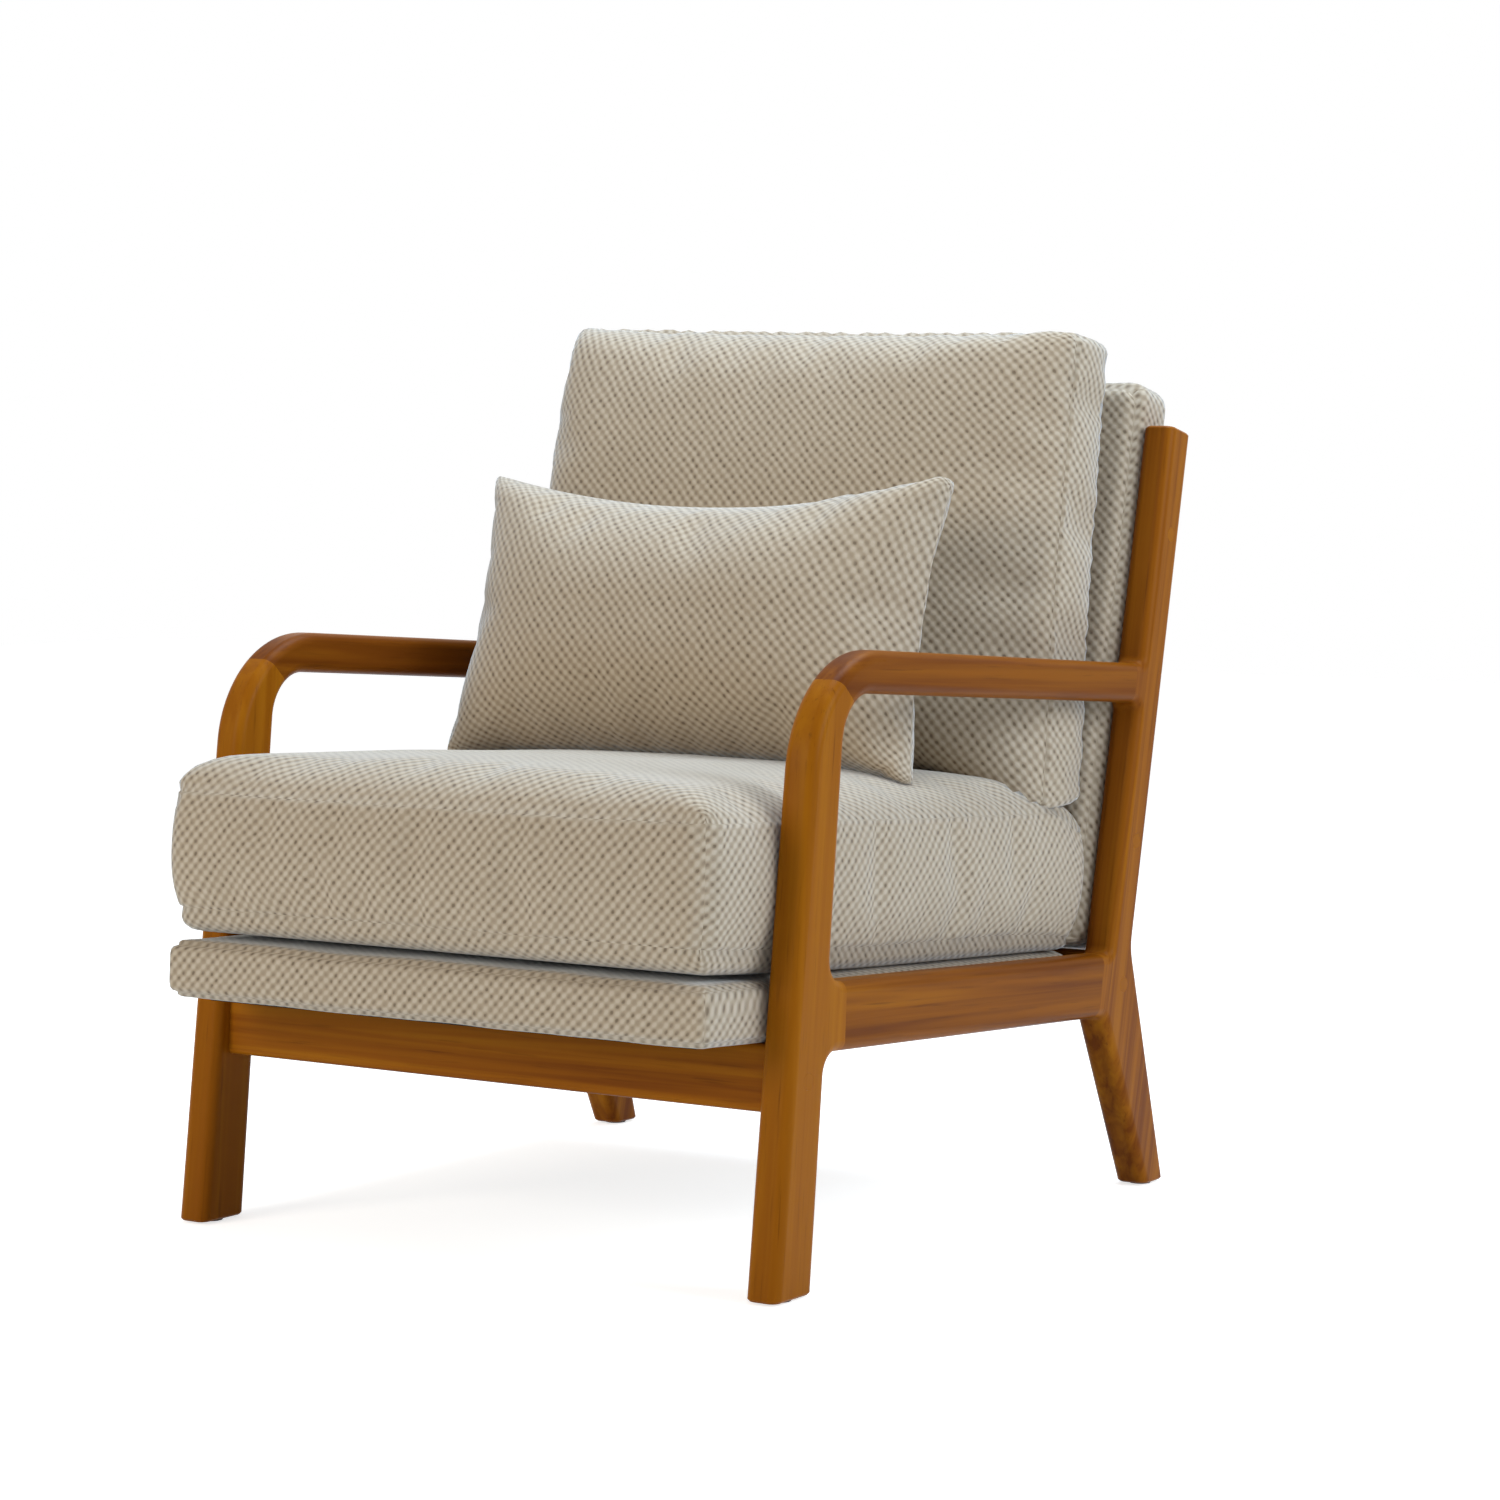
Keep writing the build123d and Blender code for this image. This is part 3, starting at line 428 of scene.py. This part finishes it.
def panel_spot(u, v, w):
    x, y = rounded_plan(u * panel_half[0], v * panel_half[1], panel_half[0], panel_half[1],
                        panel_corner)
    z = w * panel_half[2]
    end_round = panel_round if v > 0 else panel_foot_round
    z -= w * rolled(((1 - abs(u)) * panel_half[0], panel_round),
                    ((1 - abs(v)) * panel_half[1], end_round))
    inset = edge_roll * fall((1 - abs(w)) * panel_half[2], panel_round)
    x *= 1 - inset / panel_half[0]
    y *= 1 - inset * end_round / panel_round / panel_half[1]
    spot = (Vector((panel_mid[0] + x, 0, 0)) + panel_y * (panel_mid[1] + y)
            + panel_z * (panel_mid[2] + z))
    return spot + panel_z * (panel_ripple * noise.noise(spot * panel_ripples_per_metre))


panel_points, panel_panels = sewn_panels(
    ticks(panel_half[0], wrap_step), ticks(panel_half[1], wrap_step),
    ticks(panel_half[2], wrap_edge_step), panel_spot)
panel = sewn_piece("back_panel_upholstery", panel_points, panel_panels, weave)
lay_weave(panel, panel_panels, 1, -1)
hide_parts("panel_cover", "panel_foam_front", "panel_foam_rear")
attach(panel, "frame")


# Dust cover: black spunbond cloth, stapled tight under the deck to close it from below. It laps
# over the turned-in edge of the deck's fabric and sags a little in the middle. The cloth is matt,
# with a felted fleck.
felt_size = 0.001
dust_cloth, tree, surface = finish("spunbond_cloth")
place = add_node(tree, "TexCoord", {})
felt = add_node(tree, "TexNoise", {"Vector": place.outputs["Object"], "Scale": 1 / felt_size,
                                   "Detail": 3.0})
shade = add_node(tree, "ValToRGB", {"Fac": felt.outputs["Fac"]})
shade.color_ramp.elements[0].color = linear("161514")
shade.color_ramp.elements[1].color = linear("35322E")
tree.links.new(shade.outputs["Color"], surface.inputs["Base Color"])
surface.inputs["Roughness"].default_value = 0.95

dust_half, dust_mid = halves(measured("deck_dust_cover", deck_y, deck_z))
dust_gap = 0.0016
dust_thick = 0.0008
dust_sag = 0.004
dust_step = 0.02
dust_top = deck_span[2][0] - dust_gap


def dust_spot(u, v, w):
    sag = dust_thick * (1 - w) / 2 + dust_sag * (1 - u * u) * (1 - v * v)
    return (Vector((dust_mid[0] + u * dust_half[0], 0, 0))
            + deck_y * (dust_mid[1] + v * dust_half[1]) + deck_z * (dust_top - sag))


dust_points, dust_panels = sewn_panels(
    ticks(dust_half[0], dust_step), ticks(dust_half[1], dust_step), [-1.0, 1.0], dust_spot)
dust_cover = sewn_piece("dust_cover", dust_points, dust_panels, dust_cloth)
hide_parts("deck_dust_cover")
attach(dust_cover, "frame")


# Seat cushion: a foam block in fibre wrap, in a boxed cover with plain seams. The top panel is
# crowned and rolls over the front; the bottom panel turns up to a low seam and lifts a little
# off the deck at the front.
def swell(share, reach, fullness=2.0):
    depth = min(1.0, (1 - abs(share)) / reach)
    return max(0.0, 1 - (1 - depth) ** fullness) ** (1 / fullness)


def domed(share, lip, slope):
    return slope * (1 - share * share) + (1 - slope) * swell(share, lip)


def crowned(across, along, bluntness=3.0):
    if min(across, along) < 1e-4:
        return 0.0
    return (across ** -bluntness + along ** -bluntness - 1) ** (-1 / bluntness)


stuffing_frames = 20


def stuffed(piece, held, slack, pressure, most):
    soft = piece.modifiers.new("filling", "CLOTH")
    piece.vertex_groups.new(name="seams").add(held, 1.0, "REPLACE")
    soft.settings.vertex_group_mass = "seams"
    soft.settings.quality = 6
    soft.settings.air_damping = 6.0
    soft.settings.bending_stiffness = 4.0
    soft.settings.shrink_min = -slack
    soft.settings.use_pressure = True
    soft.settings.uniform_pressure_force = pressure
    soft.settings.effector_weights.gravity = 0.0
    soft.collision_settings.use_collision = False
    soft.point_cache.frame_start, soft.point_cache.frame_end = 1, stuffing_frames
    for frame_number in range(1, stuffing_frames + 1):
        bpy.context.scene.frame_set(frame_number)
    blown = piece.evaluated_get(bpy.context.evaluated_depsgraph_get()).data
    shifts = [after.co - before.co for before, after in zip(piece.data.vertices, blown.vertices)]
    piece.modifiers.remove(soft)
    piece.vertex_groups.clear()
    for vertex, shift in zip(piece.data.vertices, shifts):
        vertex.co += shift * most / (most + shift.length)
    bpy.context.scene.frame_set(1)


def border(grid):
    return {*grid[0], *grid[-1], *[row[0] for row in grid], *[row[-1] for row in grid]}


def inner(grid):
    return [index for row in grid[1:-1] for index in row[1:-1]]


def seamed(piece, sunk, *grids):
    lines = {index for grid in grids for index in border(grid)}
    ways = {index: piece.data.vertices[index].normal.copy() for index in lines}
    for index, way in ways.items():
        piece.data.vertices[index].co -= way * sunk


def reach_height(piece, indices, way, foot, height):
    spots = [piece.data.vertices[index] for index in indices]
    tallest = max(spot.co.dot(way) for spot in spots) - foot
    for spot in spots:
        rise = spot.co.dot(way) - foot
        if rise > 0:
            spot.co += way * rise * (height / tallest - 1)


seat_y, seat_z = deck_y, deck_z
seat_span = measured("seat_cushion_cover", seat_y, seat_z)
seat_base = seat_span[2][0]
seat_front = seat_span[1][0]
seat_lean = 0.016
seat_half_x = (seat_span[0][1] - seat_span[0][0]) / 2
seat_half_y = (seat_span[1][1] - seat_span[1][0] - seat_lean) / 2
seat_low_seam, seat_low_seam_fall = 0.030, 0.009
seat_top_seam = 0.138
seat_crown = seat_span[2][1] - seat_base - seat_top_seam
seat_crown_share = 0.9
seat_front_corner, seat_rear_corner = 0.024, 0.009
seat_seam_draw = 0.003
seat_left_tuck, seat_right_tuck = 0.004, 0.002
seat_waist = 0.002
seat_rear_bow = 0.004
seat_slope_from, seat_slope_run, seat_slope_drop = 0.15, 0.075, 0.028
seat_side_lip, seat_left_slope, seat_right_slope = 0.14, 0.2, 0.4
seat_front_lip, seat_rear_lip, seat_length_slope = 0.12, 0.5, 0.12
seat_side_turn, seat_front_turn, seat_rear_turn = 0.017, 0.026, 0.01
seat_front_lift, seat_lift_run = 0.008, 0.36
seat_seam_sunk = 0.0015
lump_height, lumps_per_metre = 0.002, 9
cushion_step, gusset_step = 0.011, 0.009


def seat_spot(u, v, w):
    x, y = rounded_plan(u * seat_half_x, v * seat_half_y, seat_half_x, seat_half_y,
                        seat_front_corner if v < 0 else seat_rear_corner)
    share = (w + 1) / 2
    tuck = seat_left_tuck if u < 0 else seat_right_tuck
    drawn = seat_seam_draw * w * w + tuck * max(0.0, -w) ** 3
    x *= 1 - (drawn + seat_waist * (1 - v * v)) / seat_half_x
    y *= 1 - (drawn + seat_waist * (1 - u * u)) / seat_half_y
    leaned = seat_lean * share + seat_rear_bow * (1 - w * w)
    along = seat_front + seat_half_y + y + leaned * (v + 1) / 2
    low = seat_low_seam - seat_low_seam_fall * (min(1.0, 1.2 * (v + 1)) + max(0.0, v) ** 6)
    z = low + share * (seat_top_seam - low)
    z -= share * seat_slope_drop * max(0.0, (along - seat_slope_from) / seat_slope_run) ** 2
    if w == 1:
        across = domed(u, seat_side_lip, seat_left_slope if u < 0 else seat_right_slope)
        length = domed(v, seat_front_lip if v < 0 else seat_rear_lip, seat_length_slope)
        z += seat_crown_share * seat_crown * crowned(across, length)
    if w == -1:
        end_turn = seat_front_turn if v < 0 else seat_rear_turn
        depth = min((1 - abs(u)) * seat_half_x / seat_side_turn,
                    (1 - abs(v)) * seat_half_y / end_turn)
        turn = swell(1 - min(1.0, depth), 1.0)
        lift = seat_front_lift * max(0.0, 1 - (v + 1) * seat_half_y / seat_lift_run) ** 2
        z = low * (1 - turn) + lift * turn
    spot = Vector((x, 0, 0)) + seat_y * along + seat_z * (seat_base + z)
    return spot + seat_z * (lump_height * noise.noise(spot * lumps_per_metre) * share)


seat_gusset_half = (seat_top_seam - seat_low_seam) / 2
seat_points, seat_panels = sewn_panels(
    ticks(seat_half_x, cushion_step), ticks(seat_half_y, cushion_step),
    ticks(seat_gusset_half, gusset_step), seat_spot)
seat = sewn_piece("seat_cushion", seat_points, seat_panels, weave)
seat_held = border(seat_panels[0]) | {index for row in seat_panels[1] for index in row}
stuffed(seat, list(seat_held), slack=0.015, pressure=3.0, most=0.01)
reach_height(seat, inner(seat_panels[0]), seat_z, seat_base + seat_top_seam, seat_crown)
seamed(seat, seat_seam_sunk, seat_panels[0], seat_panels[1])
lay_weave(seat, seat_panels, -1, -1)
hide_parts("seat_cushion_cover", "seat_cushion_core")
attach(seat, "seat_cushion")


# Back cushion: a fibre-filled pad in a boxed cover, with a gusset between two crowned panels.
# It stands on the seat cushion and leans on the back panel; the fibre slumps, so the front is
# fullest low down, the gusset is narrow at the top, and the bottom corners droop.
back_lean = 9.0
back_y, back_z = leaning(back_lean)
back_span = measured("back_cushion_cover", back_y, back_z)
back_half_x = (back_span[0][1] - back_span[0][0]) / 2
back_half_y = (back_span[1][1] - back_span[1][0]) / 2
back_mid_y = (back_span[1][1] + back_span[1][0]) / 2
back_rear_crown, back_rear_share = 0.026, 0.9
back_front_crown, back_front_share = 0.077, 0.88
back_rear_seam = back_span[2][0] + back_rear_crown
back_front_seam = back_span[2][1] - back_front_crown
back_side_ease, back_top_narrowing = 0.003, 0.005
back_left_corner, back_right_corner = 0.008, 0.013
back_seam_draw, back_waist = 0.003, 0.003
back_left_bulge, back_bulge_height = 0.018, 0.3
back_top_shift = 0.005
back_top_rise, back_top_tilt, back_top_sag = 0.007, 0.008, 0.002
back_corner_droop, back_droop_from = 0.03, 0.35
back_top_taper = 0.012
back_right_lip, back_right_slope = 0.07, 0.8
back_left_reach, back_left_fullness = 0.3, 2.8
back_top_lip, back_top_slope = 0.12, 0.42
back_low_reach, back_low_fullness = 0.55, 2.6
back_seam_sunk = 0.0028


def back_spot(u, v, w):
    half_x = back_half_x - back_side_ease - back_top_narrowing * (v + 1) / 2
    x, y = rounded_plan(u * half_x, v * back_half_y, half_x, back_half_y,
                        back_left_corner if u < 0 else back_right_corner)
    share = (w + 1) / 2
    x *= 1 - (back_seam_draw * w * w + back_waist * (1 - v * v)) / half_x
    bulge = max(0.0, 1 - ((v - back_bulge_height) / (1 - back_bulge_height)) ** 2)
    x -= back_left_bulge * max(0.0, -u) ** 3 * bulge + back_top_shift * (v + 1) / 2
    if v > 0:
        y += v * v * (back_top_rise - back_top_tilt * u - back_top_sag * (1 - u * u))
    else:
        droop = max(0.0, (abs(u) - back_droop_from) / (1 - back_droop_from)) ** 1.5
        y -= v * v * back_corner_droop * droop * (0.5 + 0.5 * share)
    front = back_front_seam - back_top_taper * ((v + 1) / 2) ** 2
    z = back_rear_seam + share * (front - back_rear_seam)
    if abs(w) == 1:
        across = (domed(u, back_right_lip, back_right_slope) if u > 0
                  else swell(u, back_left_reach, back_left_fullness))
        up = (domed(v, back_top_lip, back_top_slope) if v > 0
              else swell(v, back_low_reach, back_low_fullness))
        crown = back_front_share * back_front_crown if w > 0 else -back_rear_share * back_rear_crown
        z += crown * crowned(across, up)
    spot = Vector((x, 0, 0)) + back_y * (back_mid_y + y) + back_z * z
    return spot + back_z * (lump_height * noise.noise(spot * lumps_per_metre))


back_gusset_half = (back_front_seam - back_rear_seam) / 2
back_points, back_panels = sewn_panels(
    ticks(back_half_x, cushion_step), ticks(back_half_y, cushion_step),
    ticks(back_gusset_half, gusset_step), back_spot)
back = sewn_piece("back_cushion", back_points, back_panels, weave)
back_held = border(back_panels[0]) | border(back_panels[1])
stuffed(back, list(back_held), slack=0.02, pressure=3.5, most=0.014)
reach_height(back, inner(back_panels[0]), back_z, back_front_seam, back_front_crown)
reach_height(back, inner(back_panels[1]), -back_z, -back_rear_seam, back_rear_crown)
seamed(back, back_seam_sunk, back_panels[0], back_panels[1])
lay_weave(back, back_panels, 1, -1)
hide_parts("back_cushion_cover", "back_cushion_core")
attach(back, "back_cushion")


# Lumbar pillow: two panels sewn edge to edge and stuffed with fibre, so the edges draw in
# between four blunt corners. It leans on the back cushion and sinks a little into the seat.
pillow_lean = 17.0
pillow_y, pillow_z = leaning(pillow_lean)
pillow_half, pillow_mid = halves(measured("lumbar_pillow_cover", pillow_y, pillow_z))
pillow_corner = 0.011
pillow_side_ease = 0.002
pillow_right_taper, pillow_right_waist = 0.003, 0.012
pillow_left_ease, pillow_left_waist = 0.002, 0.01
pillow_shift = 0.004
pillow_top_sag, pillow_foot_rise, pillow_foot_ears = 0.033, 0.008, 0.011
pillow_top_lip, pillow_top_slope = 0.16, 0.5
pillow_low_reach, pillow_low_fullness = 0.85, 2.3
pillow_side_reach = 0.7
pillow_rim, pillow_crown_share, pillow_thinning = 0.0012, 0.85, 1.15
pillow_lumps_per_metre = 12
pillow_step = 0.009


def pillow_spot(u, v, w):
    x, y = rounded_plan(u * pillow_half[0], v * pillow_half[1], pillow_half[0], pillow_half[1],
                        pillow_corner)
    drawn = pillow_side_ease
    if u > 0:
        drawn += pillow_right_taper * (1 + v) + pillow_right_waist * (1 - v * v)
    else:
        drawn += pillow_left_ease + pillow_left_waist * (1 - v * v)
    x *= 1 - drawn / pillow_half[0]
    x += pillow_shift
    y -= (pillow_top_sag if v > 0 else pillow_foot_rise) * v * (1 - u * u)
    if v < 0:
        y -= pillow_foot_ears * v * v * u ** 6
    up = (domed(v, pillow_top_lip, pillow_top_slope) if v > 0
          else swell(v, pillow_low_reach, pillow_low_fullness))
    fullness = crowned(swell(u, pillow_side_reach), up, 2.0) ** pillow_thinning
    z = w * (pillow_rim + pillow_crown_share * pillow_half[2] * fullness)
    spot = (Vector((pillow_mid[0] + x, 0, 0)) + pillow_y * (pillow_mid[1] + y)
            + pillow_z * (pillow_mid[2] + z))
    return spot + pillow_z * (lump_height * noise.noise(spot * pillow_lumps_per_metre))


pillow_points, pillow_panels = sewn_panels(
    ticks(pillow_half[0], pillow_step), ticks(pillow_half[1], pillow_step),
    [-1.0, 1.0], pillow_spot)
pillow = sewn_piece("lumbar_pillow", pillow_points, pillow_panels, weave)
pillow_held = border(pillow_panels[0]) | border(pillow_panels[1])
stuffed(pillow, list(pillow_held), slack=0.02, pressure=4.0, most=0.014)
reach_height(pillow, inner(pillow_panels[0]), pillow_z, pillow_mid[2], pillow_half[2])
reach_height(pillow, inner(pillow_panels[1]), -pillow_z, -pillow_mid[2], pillow_half[2])
lay_weave(pillow, pillow_panels, 1, 1)
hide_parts("lumbar_pillow_cover", "lumbar_pillow_core")
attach(pillow, "lumbar_pillow")


# Zips: a nylon coil on narrow tape, sunk between two folds where it is out of sight: in the rear
# gusset of the seat cover, the bottom gusset of the back cover and the bottom seam of the pillow.
# The nylon is dull and a shade darker than the fabric.
dull_size = 0.001
zip_nylon, tree, surface = finish("moulded_nylon")
place = add_node(tree, "TexCoord", {})
dull = add_node(tree, "TexNoise", {"Vector": place.outputs["Object"], "Scale": 1 / dull_size,
                                   "Detail": 2.0})
shine = add_node(tree, "MapRange", {"Value": dull.outputs["Fac"], "To Min": 0.4, "To Max": 0.6})
tree.links.new(shine.outputs["Result"], surface.inputs["Roughness"])
surface.inputs["Base Color"].default_value = linear("94866F")
zip_sunk = 0.002
tape_half, tape_thick = 0.0035, 0.0004
coil_half, coil_foot, coil_low, coil_high = 0.0018, 0.0006, 0.001, 0.0017
half_tooth = 0.00125
slider_inset, slider_length, slider_half, slider_height = 0.03, 0.009, 0.0033, 0.003
zip_end, pillow_zip_end = 8, 10


def zip_fastener(name, cover, line, across, out, body):
    for index in line:
        cover.data.vertices[index].co -= out * zip_sunk
    spots = [cover.data.vertices[index].co.copy() for index in line]
    reach = [0.0]
    for first, second in zip(spots, spots[1:]):
        reach.append(reach[-1] + (second - first).length)

    def ring(at, half, height):
        step = max(index for index, start in enumerate(reach[:-1]) if start <= at)
        part = (at - reach[step]) / (reach[step + 1] - reach[step])
        middle = spots[step].lerp(spots[step + 1], part)
        side = ((tape_half, 0), (tape_half, tape_thick), (half, coil_foot), (half, height))
        edges = [(-aside, rise) for aside, rise in side] + list(reversed(side))
        return [shape.verts.new(middle + across * aside + out * rise) for aside, rise in edges]

    shape = bmesh.new()
    slider = reach[-1] - slider_inset
    rings = []
    for tooth in range(int(reach[-1] / half_tooth)):
        at = tooth * half_tooth
        if slider < at < slider + slider_length:
            rings.append(ring(at, slider_half, slider_height))
        else:
            rings.append(ring(at, coil_half, coil_high if tooth % 2 else coil_low))
    for low, high in zip(rings, rings[1:]):
        for index in range(len(low)):
            after = (index + 1) % len(low)
            shape.faces.new((low[index], low[after], high[after], high[index]))
    shape.faces.new(rings[0])
    shape.faces.new(rings[-1])
    bmesh.ops.recalc_face_normals(shape, faces=shape.faces[:])
    mesh = bpy.data.meshes.new(name)
    shape.to_mesh(mesh)
    shape.free()
    mesh.materials.append(zip_nylon)
    fastener = bpy.data.objects.new(name, mesh)
    bpy.context.scene.collection.objects.link(fastener)
    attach(fastener, body)


def middle_line(grid, spare):
    return grid[len(grid) // 2][spare:-spare]


zip_fastener("seat_cover_zip", seat, middle_line(seat_panels[3], zip_end), seat_z, seat_y,
             "seat_cushion")
zip_fastener("back_cover_zip", back, middle_line(back_panels[2], zip_end), back_z, -back_y,
             "back_cushion")
zip_fastener("pillow_cover_zip", pillow, pillow_panels[2][0][pillow_zip_end:-pillow_zip_end],
             pillow_z, -pillow_y, "lumbar_pillow")


# Contact: the softer piece gives way. The pillow dents the back cushion behind it, and both
# dent the top of the seat cushion under them.
def dented(piece, indices, other, way, deep=0.09, clear=0.0006):
    skin = BVHTree.FromPolygons([vertex.co for vertex in other.data.vertices],
                                [face.vertices for face in other.data.polygons])
    for index in indices:
        vertex = piece.data.vertices[index]
        met = skin.ray_cast(vertex.co - way * deep, way, deep + clear)[0]
        if met is not None:
            vertex.co = met - way * clear


dented(back, inner(back_panels[0]), pillow, back_z)
dented(seat, inner(seat_panels[0]), pillow, seat_z)
dented(seat, inner(seat_panels[0]), back, seat_z)


# Studio: a plain pale floor under soft boxes, with a white background, seen by a long lens from
# the chair's front right, a little above the arms.
def seen_directly(tree):
    rays = add_node(tree, "LightPath", {})
    seen = rays.outputs["Is Camera Ray"]
    for kind in ("Is Glossy Ray", "Is Transmission Ray"):
        either = add_node(tree, "Math", {0: seen, 1: rays.outputs[kind]}, operation="MAXIMUM")
        seen = either.outputs[0]
    return seen


floor_reach = 9
floor_paint, tree, surface = finish("pale_floor_paint")
lift = add_node(tree, "Math", {0: seen_directly(tree), 1: 0.72}, operation="MULTIPLY")
tree.links.new(lift.outputs[0], surface.inputs["Emission Strength"])
surface.inputs["Emission Color"].default_value = (1, 1, 1, 1)
surface.inputs["Base Color"].default_value = linear("EDEDEC")
surface.inputs["Roughness"].default_value = 0.9
floor_mesh = bpy.data.meshes.new("studio_floor")
floor_mesh.from_pydata([(-floor_reach, -floor_reach, 0), (floor_reach, -floor_reach, 0),
                        (floor_reach, floor_reach, 0), (-floor_reach, floor_reach, 0)],
                       [], [(0, 1, 2, 3)])
floor_mesh.materials.append(floor_paint)
floor = bpy.data.objects.new("studio_floor", floor_mesh)
bpy.context.scene.collection.objects.link(floor)

world = bpy.data.worlds.new("studio")
world.use_nodes = True
bpy.context.scene.world = world
tree = world.node_tree
level = add_node(tree, "MapRange", {"Value": seen_directly(tree), "To Min": 0.28, "To Max": 1.0})
tree.links.new(level.outputs["Result"], tree.nodes["Background"].inputs["Strength"])
tree.nodes["Background"].inputs["Color"].default_value = (1, 1, 1, 1)

lamp_target = Vector((0, 0, 0.45))
for name, spot, size, power, glow in (("soft_box_top", (0.2, 0.6, 3.0), 1.8, 82, "DCEEFF"),
                                      ("soft_box_right", (3.0, 0.2, 1.7), 1.5, 54, "E8F3FF"),
                                      ("soft_box_front", (-1.2, -3.4, 1.6), 1.6, 49, "FFF5E6")):
    lamp = bpy.data.lights.new(name, "AREA")
    lamp.color = linear(glow)[:3]
    lamp.size = size
    lamp.energy = power
    holder = bpy.data.objects.new(name, lamp)
    holder.location = spot
    holder.rotation_euler = (lamp_target - Vector(spot)).to_track_quat("-Z", "Y").to_euler()
    bpy.context.scene.collection.objects.link(holder)

photo_width_px = 1500
focal_length_px = 3846.3
camera_dip, camera_turn = 4.21, 33.66
lens = bpy.data.cameras.new("studio_camera")
lens.sensor_width = 36.0
lens.lens = lens.sensor_width * focal_length_px / photo_width_px
camera = bpy.data.objects.new("studio_camera", lens)
camera.location = (2.1280, -3.0889, 0.7203)
camera.rotation_euler = (radians(90 - camera_dip), 0, radians(camera_turn))
bpy.context.scene.collection.objects.link(camera)
bpy.context.scene.camera = camera
bpy.context.scene.view_settings.view_transform = "Standard"
